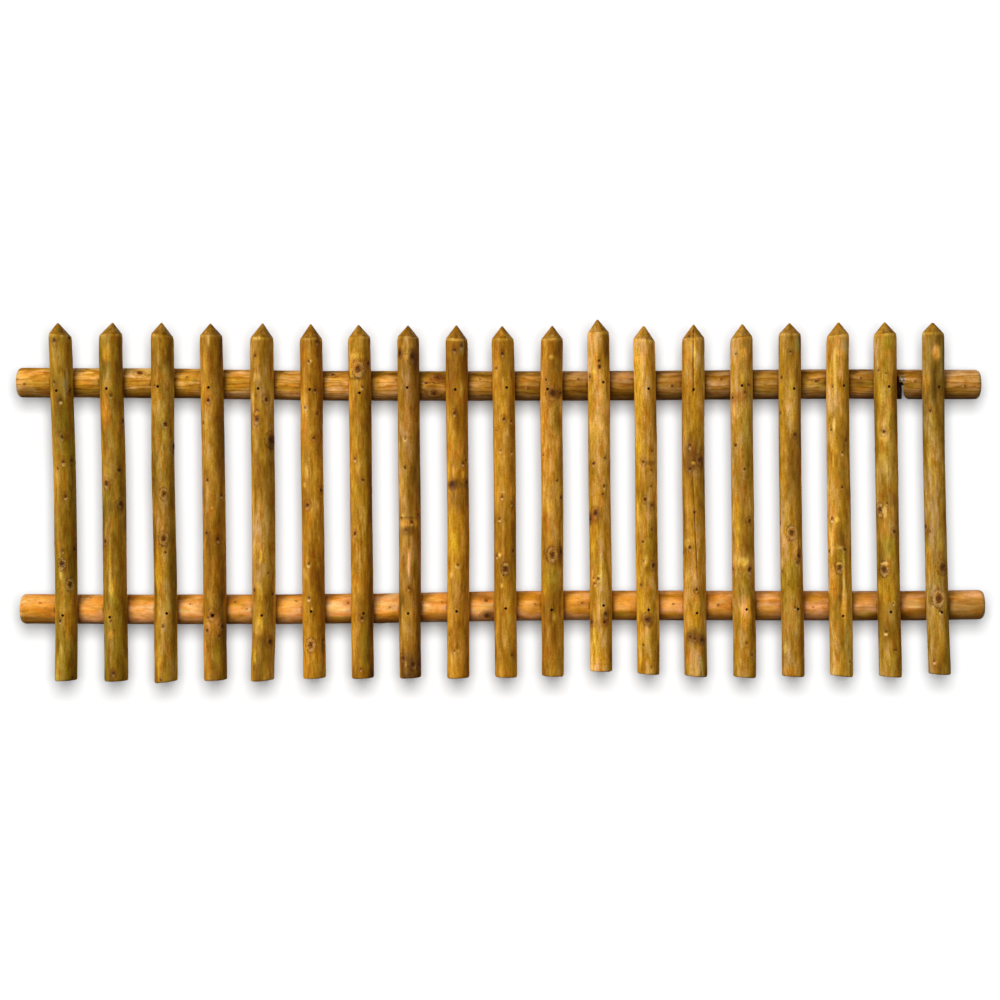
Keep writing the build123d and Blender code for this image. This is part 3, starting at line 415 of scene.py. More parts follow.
def surface(ell, along, loop, radius, knots, patches, base, drift, seed, rough=1.0):
    """Everything that varies over a log's surface.

    ell is the distance round the section and along the distance along it, in mm.
    Returns the height added to the surface, the shift of the fibres round the
    section, the knot coordinates of each layer and the stain."""
    fields = {}
    height = rough * (0.60 * noise(ell / 26, along / 85, seed) + 0.26 * noise(ell / 10, along / 34, seed + 5)
                      + 0.08 * noise(ell / 4, along / 14, seed + 9))
    shift = 1.6 * noise(ell / 30, along / 130, seed + 40) + 0.8 * noise(ell / 14, along / 60, seed + 41)
    rings = np.zeros_like(height)

    def away(e0):
        return (ell - e0 + loop / 2) % loop - loop / 2

    for n, layer in enumerate(knot_layers(knots)):
        uv = np.full(ell.shape + (3,), 0.0)
        par = np.zeros(ell.shape + (3,))
        best = np.full(ell.shape, 1e9)
        uv[..., 0] = 9.0
        for e0, a0, r, kind in layer:
            u, v = away(e0) / r, (along - a0) / (r * (1.38 if kind == "b" else 1.18))
            d = np.hypot(u, v)
            near = d < best
            core, lip, line, lift, ring = KIND[kind]
            best = np.where(near, d, best)
            uv[near, 0], uv[near, 1] = u[near], v[near]
            uv[near, 2] = step(REACH, REACH - 0.35, d)[near]
            par[near] = (core, lip, line)
            height = height + rough * 0.42 * r * lift * 0.5 * (
                np.exp(-((d - 1.25) / 0.55) ** 2) + 0.7 * np.exp(-(d / 2.4) ** 2) - 0.75 * np.exp(-(d / 0.7) ** 2))
            shift = shift - away(e0) * 0.62 * np.exp(-(d / 1.9) ** 2)
            rings = rings + ring * np.exp(-(d / 1.9) ** 2) * r * 0.45
        fields[f"knot{n}"] = uv
        fields[f"look{n}"] = par

    left, right, gain, second, share = base
    a, b, c = (np.array(STAIN[s]) for s in (left, right, second))
    across = np.clip(0.5 + drift + 0.22 * noise(ell / 26, along / 150, seed + 60), 0, 1)[..., None]
    tone = a * (1 - across) + b * across
    w = np.clip(share * (0.85 + 1.3 * fractal(ell / 26, along / 120, seed + 61)), 0, 0.9)[..., None]
    tone = tone * (1 - w) + c * w
    near, far = fractal(ell / 15, along / 60, seed + 62), noise(ell / 28, along / 170, seed + 64)
    tone = tone * (gain * (1 + 0.42 * near + 0.46 * far))[..., None]
    # darker wood is also browner, with hardly any blue left in it
    blue = np.exp(1.7 * near + 1.5 * far + 0.5 * noise(ell / 9, along / 50, seed + 66))
    blue = np.minimum(blue, 1.0 + 0.65 * np.tanh((blue - 1.0) / 0.65))
    tone = tone * np.stack([1 - 0.04 * np.log(blue), 1 + 0.03 * np.log(blue), blue], -1)
    for e0, a0, re, ra, stain, strength in patches:
        wob = 0.30 * fractal(ell / 9, along / 22, seed + 63, 2)
        d = np.hypot(away(e0) / re, (along - a0) / ra) + wob
        w = (min(1.1 * strength, 0.92) * step(1.40, 0.40, d))[..., None]
        tone = tone * (1 - w) + np.array(STAIN[stain]) * w
    fields["tone"] = np.clip(tone, 0.004, 0.92)
    return height, shift, rings, fields


def make_mesh(name, co, quads, tris, fields, body="root"):
    me = bpy.data.meshes.new(name)
    nq, nt = len(quads), len(tris)
    used = np.zeros(len(co), bool)
    used[quads.ravel()] = True
    used[tris.ravel()] = True
    new = np.cumsum(used) - 1
    co = co[used] / 1000.0
    loops = np.concatenate([new[quads].ravel(), new[tris].ravel()])
    me.vertices.add(len(co))
    me.vertices.foreach_set("co", co.astype(np.float32).ravel())
    me.loops.add(len(loops))
    me.loops.foreach_set("vertex_index", loops.astype(np.int32))
    me.polygons.add(nq + nt)
    starts = np.concatenate([np.arange(nq) * 4, nq * 4 + np.arange(nt) * 3])
    me.polygons.foreach_set("loop_start", starts.astype(np.int32))
    me.polygons.foreach_set("use_smooth", np.ones(nq + nt, bool))
    me.update(calc_edges=True)
    for key, values in fields.items():
        values = values[used].astype(np.float32)
        if values.ndim == 1:
            me.attributes.new(key, "FLOAT", "POINT").data.foreach_set("value", values)
        elif key == "tone":
            rgba = np.ones((len(values), 4), np.float32)
            rgba[:, :3] = values
            me.attributes.new(key, "FLOAT_COLOR", "POINT").data.foreach_set("color", rgba.ravel())
        else:
            me.attributes.new(key, "FLOAT_VECTOR", "POINT").data.foreach_set("vector", values.ravel())
    ob = bpy.data.objects.new(name, me)
    bpy.context.scene.collection.objects.link(ob)
    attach(ob, body)
    return ob


# --------------------------------------------------------------------- pickets
def section():
    """Unit half-round: sideways, forwards, and distance round it from the front."""
    th = np.radians(np.linspace(-84, 84, 45))
    a, b = list(np.sin(th)), list(np.cos(th) * 0.975)
    a += [0.9985, 0.988, 0.955] + list(np.linspace(0.88, -0.88, 11)) + [-0.955, -0.988, -0.9985]
    b += [0.050, 0.014, 0.0] + [0.0] * 11 + [0.0, 0.014, 0.050]
    a, b = np.array(a), np.array(b)
    n = len(a)
    seg = np.hypot(np.roll(a, -1) - a, np.roll(b, -1) - b)
    dist = np.concatenate([[0], np.cumsum(seg)[:-1]])
    dist -= dist[22]
    return a, b, dist, seg.sum(), n


SEC_A, SEC_B, SEC_L, SEC_P, SEC_N = section()
FRONT = 45               # columns of the round front


def centre_x(row, z):
    zs, xs = STATION_Z[::-1], row[0][::-1]
    return (np.interp(z - 18, zs, xs) + np.interp(z, zs, xs) * 2 + np.interp(z + 18, zs, xs)) / 4


def half_width(row, z):
    a, b, c = row[1]
    return np.where(z >= 280, b + (a - b) * np.clip((z - 280) / 340, 0, 1),
                    b + (c - b) * np.clip((280 - z) / 330, 0, 1))


def picket(index):
    row = PICKETS[index]
    seed = 100 + index * 7
    rng = np.random.default_rng(4100 + index)
    tip_x, tip_z, apex_z, sh_l, sh_r, bot, rise = row[2:9]
    sh = (sh_l + sh_r) / 2
    sh_x = float(centre_x(row, 700.0)) + (tip_x - float(centre_x(row, 700.0))) * 0.15
    hw_sh = float(half_width(row, 700.0))
    tip_r = max(4.0, hw_sh * (apex_z - tip_z) / (apex_z - sh))
    top_r = tip_r * 0.55
    mean_hw = float(np.mean(row[1]))
    loop = SEC_P * mean_hw

    # rows: height, radius, centre, share of the cone (0 below the shoulder)
    rows = []
    for h, inset in ((0.0, 3.8), (0.7, 2.1), (2.0, 0.9), (3.8, 0.2)):
        rows.append((bot + h, inset, 0.0, 0.0))
    n = int((sh - bot - 5.0) / 3.7)
    for k in range(n + 1):
        rows.append((bot + 5.0 + (sh - bot - 5.0) * k / n, 0.0, 0.0, 0.0))
    cone = [0.02, 0.045, 0.08, 0.13] + list(np.linspace(0.19, 1.0, 13))
    for c in cone:
        rows.append((sh, 0.0, c, c))
    rows = np.array(rows)
    zn, inset, cc = rows[:, 0][:, None], rows[:, 1][:, None], rows[:, 2][:, None]
    A, B = SEC_A[None, :], SEC_B[None, :]
    low = 1 - step(bot, bot + 60, zn)
    high = step(sh - 60, sh, zn)
    Z = zn + rise * A * low + (sh_r - sh_l) / 2 * A * high
    Z = Z + (tip_z - 0.9 - Z) * cc
    XC = centre_x(row, np.where(cc > 0, sh, Z) + 0 * A)
    XC = XC + (sh_x - XC) * high
    XC = XC + (tip_x - sh_x) * cc
    HW = half_width(row, Z)
    soft = 0.03
    R = HW - (HW - top_r) * (cc * cc / (cc + soft)) * (1 + soft) - inset
    R = R - 0.9 * step(sh - 11, sh, zn) * (1 - cc)
    front = np.arange(SEC_N) < FRONT
    ELL = SEC_L[None, :] * (mean_hw + 0 * Z)
    ell_tex = ELL * np.where(cc > 0, R / HW, 1.0)

    knots, patches = [], []
    for col, r, size, kind in KNOTS[index]:
        x, z = at(col, r)
        s = (x - float(centre_x(row, z))) / float(half_width(row, z))
        size *= 1.10 if kind in "bD" else 1.25
        knots.append((mean_hw * math.asin(max(-0.985, min(0.985, s))), z, size / FRONT_SCALE, kind))
    for col, r, rx, ry, stain, strength in PATCHES[index]:
        x, z = at(col, r)
        s = (x - float(centre_x(row, z))) / float(half_width(row, z))
        patches.append((mean_hw * math.asin(max(-0.985, min(0.985, s))), z, rx / FRONT_SCALE,
                        ry / FRONT_SCALE, stain, strength))
    # the sawn back shows a few knots of its own
    for _ in range(int(rng.integers(6, 10))):
        knots.append((loop / 2 + rng.uniform(-0.75, 0.75) * mean_hw, rng.uniform(bot + 20, sh - 20),
                      rng.uniform(3.0, 7.0), rng.choice(["d", "r", "b", "s"])))
    for _ in range(5):
        patches.append((loop / 2 + rng.uniform(-0.6, 0.6) * mean_hw, rng.uniform(bot, sh), rng.uniform(6, 16),
                        rng.uniform(50, 150), rng.choice(["tan", "honey", "brown", "gold"]), rng.uniform(.2, .5)))

    def fields_at(ell, z, cone_share, theta, hw, flat):
        """Height and attributes at points given round the section and along it."""
        drift = np.clip(np.sin(theta), -1, 1) * 0.42
        h, shift, ringy, f = surface(ell, z, loop, mean_hw, knots, patches, TONE[index], drift, seed)
        th = theta + shift / mean_hw
        gx = np.where(flat, hw * np.sin(theta), hw * np.sin(th))
        gy = np.where(flat, 0.0, -hw * np.cos(th) * 0.975)
        # painted shade: the right side of each picket, turned from the light, is coloured browner with less blue
        f["tone"] = f["tone"] * (1 - np.array([0.0, 0.05, 0.60]) * step(-0.1, 0.95, np.sin(theta))[..., None])
        f["grain"] = np.stack([gx + 371.0 * index, gy + 59.0 * index, z + 0 * gx + 1310.0 * index], -1)
        wander = 5.0 * noise(z / 260, 0.5 + 0 * z, seed + 80)
        depth = 4.0 + 3.0 * noise(z / 310, 3.5 + 0 * z, seed + 81)
        f["ring"] = np.hypot(gx - wander, gy - depth) / 2.6 + ringy + 0.35 * noise(ell / 20, z / 80, seed + 82)
        # the machined cone is a fresh, slanting cut, darker at its rim; its right side is painted darker as shade
        c = cone_share
        on = step(0.01, 0.06, c)
        cone_tone_and_shade = (np.array(STAIN["tan"]) * 0.45 + np.array(STAIN["brown"]) * 0.55) * (
            0.80 - 0.22 * np.sin(theta) + 0.70 * fractal(ell / 8, z / 8, seed + 83))[..., None]
        w = (0.55 * on)[..., None]
        f["tone"] = f["tone"] * (1 - w) + cone_tone_and_shade * w
        lip = (np.exp(-((c - 0.01) / 0.035) ** 2) * 0.40 * (0.7 + 0.5 * noise(ell / 8, z / 30, seed + 84))
               * (c > -1))[..., None]
        lip = lip * step(sh - 6, sh - 2, z)[..., None]
        f["tone"] = f["tone"] * (1 - lip) + np.array(STAIN["cream"]) * lip
        # sawn back: paler and plainer
        w = np.where(flat, 0.40, 0.0)[..., None]
        f["tone"] = f["tone"] * (1 - w) + (np.array(STAIN["tan"]) * 0.8) * w
        f["sawn"] = np.where(flat, 1.0, 0.0) + 0 * z
        f["endm"] = 0.55 * on + 0 * z
        f["hole"] = np.zeros_like(z)
        crack = np.full(z.shape, 12.0)
        if index == 13:      # the long drying crack
            path = [(693.0, 326), (693.2, 360), (693.2, 392), (692.6, 410), (691.8, 425), (691.4, 440),
                    (692.5, 475), (693.4, 492), (694.4, 512), (695.2, 535), (696.6, 556), (697.8, 590), (698.2, 600)]
            zs = [at(a, b)[1] for a, b in path][::-1]
            xs = [at(a, b)[0] for a, b in path][::-1]
            want = np.interp(z, zs, xs)
            here = (want - centre_x(row, z)) / half_width(row, z)
            off = ell - mean_hw * np.arcsin(np.clip(here, -0.97, 0.97))
            open_ = (step(at(0, 405)[1], at(0, 388)[1], z) * 1.0
                     + step(at(0, 590)[1], at(0, 560)[1], z) * step(at(0, 470)[1], at(0, 486)[1], z) * 0.75)
            crack = np.where(open_ > 0.02, np.clip(off / np.maximum(open_, 0.05), -12, 12), 12.0)
            h = h - 2.6 * open_ * np.exp(-(off / 1.3) ** 2)
        f["crack"] = crack
        return h, f

    theta = np.where(front[None, :], np.arcsin(np.clip(A, -1, 1)), np.where(A > 0, 1, -1) * math.pi / 2) + 0 * Z
    flat = (~front)[None, :] & (np.abs(A) < 0.97) & (cc < 2) & (Z == Z)
    back_theta = np.arcsin(np.clip(A, -1, 1)) + 0 * Z
    theta_t = np.where(flat, back_theta, theta)
    h, f = fields_at(ELL + 0 * Z, Z + 0 * A, cc + 0 * Z, theta_t, R, flat)
    damp = np.where(cc > 0, 0.35, 1.0) * np.where(front[None, :], 1.0, 0.0) * step(0, 3, zn - bot + 1.0)
    dx = h * np.sin(theta) * damp
    dy = -h * np.cos(theta) * damp
    X = XC + R * A + dx
    Y = SEAT_Y - R * B + dy - np.where(front[None, :], 0.0, 0.0)
    Y = np.where(flat, SEAT_Y - 0.10 * np.abs(noise(X / 3, Z / 1.3, seed + 90)), Y)
    Y = np.clip(Y, FRONT_Y, SEAT_Y)
    # a few dents and worn edges at the foot and the shoulder
    nick = 0.8 * np.clip(noise(ELL / 7, Z / 6, seed + 91) - 0.35, 0, 1) * (
        np.exp(-((zn - bot) / 5.0) ** 2) + np.exp(-((zn - sh) / 5.0) ** 2) * (cc == 0) + 0.8 * (cc > 0) * (cc < 0.1))
    X = X - nick * np.sin(theta) * 1.3
    Y = Y + nick * np.cos(theta) * 1.3
    Y = np.clip(Y, FRONT_Y, SEAT_Y)

    co = [np.stack([X, Y, Z], -1).reshape(-1, 3)]
    fl = {k: [v.reshape((-1,) + v.shape[2:])] for k, v in f.items()}
    nr = len(rows)
    idx = np.arange(nr * SEC_N).reshape(nr, SEC_N)
    q = np.stack([idx[:-1], np.roll(idx[:-1], -1, 1), np.roll(idx[1:], -1, 1), idx[1:]], -1)   # (nr-1, N, 4)
    keep = np.ones(q.shape[:2], bool)
    quads, tris = [], []
    count = nr * SEC_N

    def add_points(p, ff):
        nonlocal count
        co.append(p)
        for k in fl:
            fl[k].append(ff[k])
        start = count
        count += len(p)
        return np.arange(start, start + len(p))

    # screw bores: a block of the grid gives way to rings round the hole
    for hx, hz in (row[9], row[10]):
        s = (hx - float(centre_x(row, hz))) / float(half_width(row, hz))
        th0 = math.asin(s)
        j = int(round((math.degrees(th0) + 84) / (168 / 44)))
        i = int(np.argmin(np.abs(Z[:, 22] - hz)))
        i0, i1, j0, j1 = i - 3, i + 3, j - 4, j + 4
        keep[i0:i1, j0:j1] = False
        border = ([idx[i0, jj] for jj in range(j0, j1)] + [idx[ii, j1] for ii in range(i0, i1)]
                  + [idx[i1, jj] for jj in range(j1, j0, -1)] + [idx[ii, j0] for ii in range(i1, i0, -1)])
        border = np.array(border)
        m = len(border)
        bp = co[0][border]
        ang = np.arctan2(bp[:, 2] - hz, bp[:, 0] - hx)
        rho = np.hypot(bp[:, 2] - hz, bp[:, 0] - hx)
        # spread the angles evenly as the rings close in on the bore
        even = ang[0] + 2 * math.pi * np.arange(m) / m
        ang_u = np.unwrap(ang)
        if ang_u[-1] < ang_u[0]:
            even = ang[0] - 2 * math.pi * np.arange(m) / m
        even = even + np.mean(ang_u - even)
        previous = border
        for share, rad, sink in ((0.45, None, 0.0), (0.8, 4.7, 0.0), (0.95, 3.9, 0.05), (1.0, 3.4, 0.45)):
            t = share
            angle = ang_u * (1 - t) + even * t
            rr = rho * 0.5 + 4.7 * 0.5 if rad is None else np.full(m, rad)
            px, pz = hx + rr * np.cos(angle), hz + rr * np.sin(angle)
            hw = half_width(row, pz)
            ss = np.clip((px - centre_x(row, pz)) / hw, -0.99, 0.99)
            th = np.arcsin(ss)
            hh, ff = fields_at(mean_hw * th, pz, np.zeros(m), th, hw, np.zeros(m, bool))
            py = np.clip(SEAT_Y - hw * np.cos(th) * 0.975 - hh * np.cos(th) + sink, FRONT_Y, SEAT_Y)
            # painted shade: the bore grows darker towards its inside
            ff["hole"] = np.full(m, 0.0 if rad is None or rad > 4 else (0.15 if rad > 3.5 else 0.6))
            new = add_points(np.stack([px + hh * np.sin(th) * (0 if rad else 1), py, pz], -1), ff)
            for a in range(m):
                b = (a + 1) % m
                quads.append((previous[a], previous[b], new[b], new[a]))
            previous = new
        wall = co[-1].copy()
        for depth in (0.5, 1.0):
            p = wall.copy()
            p[:, 1] = wall[:, 1] + (HEAD_SEAT_Y - 0.02 - wall[:, 1]) * depth
            ff2 = {k: fl[k][-1].copy() for k in fl}
            ff2["hole"] = np.full(m, 1.0)
            new = add_points(p, ff2)
            for a in range(m):
                b = (a + 1) % m
                quads.append((previous[a], previous[b], new[b], new[a]))
            previous = new
        centre = add_points(np.array([[hx, HEAD_SEAT_Y - 0.02, hz]]), {k: fl[k][-1][:1].copy() for k in fl})[0]
        for a in range(m):
            tris.append((previous[a], previous[(a + 1) % m], centre))

    grid = q[keep].reshape(-1, 4)
    # foot: end grain with a slightly uneven saw cut
    previous = idx[0]
    for frac in (0.86, 0.6, 0.33):
        r0 = R[0]
        px = XC[0] + r0 * SEC_A * frac
        py = SEAT_Y - r0 * (SEC_B * frac + 0.42 * (1 - frac))
        pz = bot + rise * (px - XC[0]) / float(HW[0, 22]) + 0.25 * noise(px / 6, py / 6, seed + 92) * (frac < 0.8)
        ff = {k: fl[k][0][:SEC_N].copy() for k in fl}
        gx, gy = px - XC[0], py - SEAT_Y
        ff["grain"] = np.stack([gx + 371.0 * index, gy + 59.0 * index, pz + 1310.0 * index], -1)
        ff["ring"] = np.hypot(gx, gy - 4.0) / 2.6
        ff["endm"] = np.ones(SEC_N)
        ff["tone"] = ff["tone"] * 0.35 + np.array(STAIN["tan"]) * 0.62
        ff["sawn"] = np.zeros(SEC_N)
        new = add_points(np.stack([px, py, pz], -1), ff)
        for a in range(SEC_N):
            b = (a + 1) % SEC_N
            quads.append((previous[b], previous[a], new[a], new[b]))
        previous = new
    mid = co[-1].mean(0)[None]
    c = add_points(mid, {k: fl[k][-1][:1].copy() for k in fl})[0]
    for a in range(SEC_N):
        tris.append((previous[(a + 1) % SEC_N], previous[a], c))
    # blunt tip
    previous = idx[-1]
    for dz, frac in ((-0.35, 0.80), (-0.05, 0.45)):
        px = tip_x + R[-1] * SEC_A * frac
        py = SEAT_Y - R[-1] * SEC_B * frac
        ff = {k: fl[k][0][-SEC_N:].copy() for k in fl}
        new = add_points(np.stack([px, py, np.full(SEC_N, tip_z + dz)], -1), ff)
        for a in range(SEC_N):
            b = (a + 1) % SEC_N
            quads.append((previous[a], previous[b], new[b], new[a]))
        previous = new
    c = add_points(np.array([[tip_x, SEAT_Y - tip_r * 0.25, tip_z]]),
                   {k: fl[k][-1][:1].copy() for k in fl})[0]
    for a in range(SEC_N):
        tris.append((previous[a], previous[(a + 1) % SEC_N], c))

    co = np.concatenate(co)
    fields = {k: np.concatenate(v) for k, v in fl.items()}
    quads = np.concatenate([grid, np.array(quads)])
    name = f"picket_{index + 1:02d}"
    ob = make_mesh(name + "_wood", co, quads, np.array(tris), fields)
    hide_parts(name)
    return ob


# ----------------------------------------------------------------------- rails
def fade(u, left, right, start, end):
    t = np.clip((u - start) / (end - start), 0.0, 1.0)
    return left + (right - left) * t * t * (3 - 2 * t)


def rail(name, x0, line, ends, knots_px, patches_px, base, light, seed, pith, spacing, damage):
    rng = np.random.default_rng(seed)
    x1 = x0 + RAIL_LENGTH
    full = [(x0, ends[0])] + line + [(x1, ends[1])]
    lx, lz = [p[0] for p in full], [p[1] for p in full]

    def centre_z(x):
        return (np.interp(x - 25, lx, lz) + 2 * np.interp(x, lx, lz) + np.interp(x + 25, lx, lz)) / 4

    xs = list(np.arange(x0 + 13, x1 - 12, 3.9))
    if damage:
        xs = [x for x in xs if not SLIT_X - 22 < x < SLIT_X + 18] + list(np.arange(SLIT_X - 22, SLIT_X - 1.6, 1.7)) + \
             list(np.arange(SLIT_X + 2.2, SLIT_X + 18, 1.8))
    for row in PICKETS:      # crisp edges where the seats stop
        z = float(centre_z(row[0][1] if damage else row[0][7]))
        c, h = float(centre_x(row, z)), float(half_width(row, z)) + SEAT_MARGIN
        for e in (c - h, c + h):
            xs = [x for x in xs if abs(x - e) > 1.0] + [e - 0.25, e + 0.25]
    edge = [0.0, 0.5, 1.3, 2.6, 4.4, 6.6, 9.0, 11.0]
    xs = np.array(sorted([x0 + e for e in edge] + xs + [x1 - e for e in edge]))
    drop = np.array([9.0, 7.2, 5.6, 3.9, 2.4, 1.1, 0.3, 0.0])
    near = np.minimum(xs - x0, x1 - xs)
    radius = 38.25 - np.interp(near, edge, drop + np.array([0.8, 0, 0, 0, 0, 0, 0, 0]))
    N = 88
    phi = np.linspace(-math.pi, math.pi, N, endpoint=False)
    slit_rows = None
    X = xs[:, None] + 0 * phi[None, :]
    knots, patches = [], []
    for col, r, size, kind in knots_px:
        x, z = at(col, r, RAIL_SCALE)
        s = (z - float(centre_z(x))) / RAIL_R
        knots.append((RAIL_R * math.asin(max(-0.98, min(0.98, s))), x, size / RAIL_SCALE, kind))
    for col, r, rx, ry, stain, strength in patches_px:
        x, z = at(col, r, RAIL_SCALE)
        s = (z - float(centre_z(x))) / RAIL_R
        patches.append((RAIL_R * math.asin(max(-0.98, min(0.98, s))), x, ry / RAIL_SCALE,
                        rx / RAIL_SCALE, stain, strength))
    for _ in range(46):      # the sides and the back have knots too
        e = rng.uniform(0.28, 0.72) * 2 * math.pi * RAIL_R
        knots.append((e, rng.uniform(x0 + 30, x1 - 30), rng.uniform(2.6, 6.5), rng.choice(["d", "r", "b", "s", "p"])))
    for _ in range(16):
        e = rng.uniform(0.25, 0.75) * 2 * math.pi * RAIL_R
        patches.append((e, rng.uniform(x0, x1), rng.uniform(10, 30), rng.uniform(40, 160),
                        rng.choice(["tan", "honey", "brown", "orange"]), rng.uniform(.2, .5)))
    loop = 2 * math.pi * RAIL_R
    at_z = (ends[0] + ends[1]) / 2
    spots = [x0] + [float(centre_x(row, at_z)) for row in PICKETS] + [x1]
    middles = [(a + b) / 2 for a, b in zip(spots, spots[1:])]

    def fields_at(ph, x, end):
        ell = ph * RAIL_R
        s = np.sin(ph)
        # painted shade: the lower front of the rail is coloured darker
        low = 1 - 0.46 * step(0.0, -0.85, s) * (np.cos(ph) > 0)
        look = base[:2] + (base[2] * fade((x - middles[0]) / (middles[-1] - middles[0]), *light) * low,) + base[3:]
        h, shift, ringy, f = surface(ell, x, loop, RAIL_R, knots, patches, look,
                                     np.clip((x - x0) / RAIL_LENGTH - 0.5, -1, 1) * 0.9, seed, 0.8)
        p = ph + shift / RAIL_R
        gy, gz = -RAIL_R * np.cos(p), RAIL_R * np.sin(p)
        f["grain"] = np.stack([gy + 17.0 + seed, gz - 23.0, x + 91.0 * seed], -1)
        wy = pith[0] + 9.0 * noise(x / 420, 0.5 + 0 * x, seed + 80)
        wz = pith[1] + 9.0 * noise(x / 380, 2.5 + 0 * x, seed + 81)
        f["ring"] = (np.hypot(gy - wy, gz - wz) + 1.7 * noise(ell / 17, x / 75, seed + 82)
                     + 0.9 * noise(ell / 8, x / 38, seed + 83)) / spacing + ringy
        f["sawn"] = np.zeros_like(x)
        f["endm"] = end + 0 * x
        f["hole"] = np.zeros_like(x)
        f["crack"] = np.full(x.shape, 12.0)
        return h, f

    PH = phi[None, :] + 0 * X
    h, f = fields_at(PH, X, 0.0)
    endfade = step(0, 12, near)[:, None]
    R = radius[:, None] + h * endfade
    CZ = centre_z(X)
    Y = -R * np.cos(PH)
    Z = CZ + R * np.sin(PH)
    # painted shade where the pickets meet the rail: a painted shadow just right of each picket and a softer one along
    # its left side
    for row in PICKETS:
        z = float(centre_z(row[0][1] if damage else row[0][7]))
        c, hh = float(centre_x(row, z)), float(half_width(row, z))
        right, left = X - c - hh, c - hh - X
        shade = 0.45 * np.exp(-(np.clip(right - 2.0, 0, None) / 4.0) ** 2) * (right > -3)
        shade = np.maximum(shade, 0.45 * np.exp(-(np.clip(left, 0, None) / 5.0) ** 2) * (left > -3))
        shade = np.maximum(shade, 0.26 * np.exp(-(np.clip(left, 0, None) / 20.0) ** 2) * (left > -3))
        shade = shade * (np.cos(PH) > 0)
        f["tone"] = f["tone"] * (1 - shade[..., None] * np.array([0.90, 1.0, 1.0]))
    # bevelled ends show cut fibres
    bevel = (1 - step(8.0, 11.0, near))[:, None] * 0.6
    f["endm"] = f["endm"] + bevel
    w = (bevel * 0.55)[..., None]
    f["tone"] = f["tone"] * (1 - w) + np.array(STAIN["grey"]) * w * 1.1
    # seats
    for row in PICKETS:
        z = float(centre_z(row[0][1] if damage else row[0][7]))
        c, hh = float(centre_x(row, z)), float(half_width(row, z)) + SEAT_MARGIN
        inside = np.abs(X - c) < hh
        Y = np.where(inside, np.maximum(Y, SEAT_Y + 0.02), Y)
    Y = np.minimum(Y, 38.4)
    if damage:
        # the slit slants with depth
        X = X + SLIT_SLANT * Y * step(21, 4, np.abs(X - SLIT_X))
        # the hollow between picket and slit, painted dark as shade, and the grey, splintered scar above
        worn = 0.6 * noise(X / 4, Z / 5, 901)
        dent = step(2258.3, 2260.3, X) * (X < SLIT_X - 1.0 + SLIT_SLANT * Y) * step(586.5, 583.5, Z + 2 * worn)
        dent = np.maximum(dent, step(2258.3, 2260.3, X) * step(2267.0, 2263.5, X + worn) * step(602, 597, Z))
        dent = dent * (np.cos(PH) > 0.1)
        Y = Y + dent * np.clip(-24.5 + worn - Y, 0, None)
        f["tone"] = f["tone"] * (1 - 0.6 * dent)[..., None]
        scar = step(1.25, 0.6, np.hypot((X - 2273.4) / 9.8, (Z - 593.0) / 11.5)
                    + 0.25 * noise(X / 4, Z / 4, 902)) * (np.cos(PH) > 0)
        rough = scar * (1.3 * noise(X / 2.4, Z / 2.4, 903) + 0.8 * noise(X / 5, Z / 5, 904))
        Y = Y + (rough + scar * 1.2) * (1 - dent)
        f["hole"] = np.clip(np.maximum(f["hole"], dent * 1.15), 0, 1)
        grey = (scar * (1 - 0.8 * dent))[..., None] * 0.95
        speck = (0.85 + 0.75 * noise(X / 2.8, Z / 2.6, 905))[..., None]
        f["tone"] = f["tone"] * (1 - grey) + np.array(STAIN["ash"]) * speck * grey
        f["sawn"] = np.maximum(f["sawn"], scar)
        dark = (step(0.35, 0.7, noise(X / 3.1, Z / 3.1, 906)) * scar * 0.8)[..., None]
        f["tone"] = f["tone"] * (1 - dark) + np.array(STAIN["dark"]) * dark

    rowsXYZ = [np.stack([X[i], Y[i], Z[i]], -1) for i in range(len(xs))]
    rowsF = [{k: v[i] for k, v in f.items()} for i in range(len(xs))]
    if damage:
        # the slit: the lower half of the section is cut from below up to the axis
        i = int(np.searchsorted(xs, SLIT_X))
        left, right = rowsXYZ[i - 1].copy(), rowsXYZ[i].copy()
        cz = float(centre_z(SLIT_X))
        lowz = left[:, 2] < SLIT_Z
        extra = []
        wall_l = [(-50, -2.9), (-20, -2.7), (0, -2.2)]
        wall_r = [(-50, 13.0), (-37.0, 12.0), (-33.5, 6.5), (-27, 3.2), (-18, 1.9), (0, 1.4)]

        def wall(points, z):
            return np.interp(z, [p[0] for p in points], [p[1] for p in points])

        def ring_at(base_row, x_upper, points, lift):
            p = base_row.copy()
            dz = p[:, 2] - SLIT_Z
            zz = np.where(lowz, dz * (1 - lift), dz)
            p[:, 2] = SLIT_Z + zz
            p[:, 0] = np.where(lowz, SLIT_X + wall(points, zz), x_upper) + SLIT_SLANT * p[:, 1]
            return p

        lf, rf = rowsF[i - 1], rowsF[i]

        # painted shade on the walls of the slit
        def shade(src, amount):
            g = {k: v.copy() for k, v in src.items()}
            g["hole"] = np.where(lowz, amount, g["hole"])
            g["endm"] = np.where(lowz, 0.6, g["endm"])
            return g

        extra.append((ring_at(left, SLIT_X - 1.8, wall_l, 0.0), shade(lf, 0.25)))
        extra.append((ring_at(left, SLIT_X - 1.5, wall_l, 0.5), shade(lf, 0.55)))
        extra.append((ring_at(left, SLIT_X - 1.2, wall_l, 1.0), shade(lf, 0.8)))
        extra.append((ring_at(right, SLIT_X + 1.0, wall_r, 1.0), shade(rf, 0.8)))
        extra.append((ring_at(right, SLIT_X + 1.3, wall_r, 0.65), shade(rf, 0.5)))
        extra.append((ring_at(right, SLIT_X + 1.6, wall_r, 0.3), shade(rf, 0.3)))
        extra.append((ring_at(right, SLIT_X + 1.9, wall_r, 0.0), shade(rf, 0.15)))
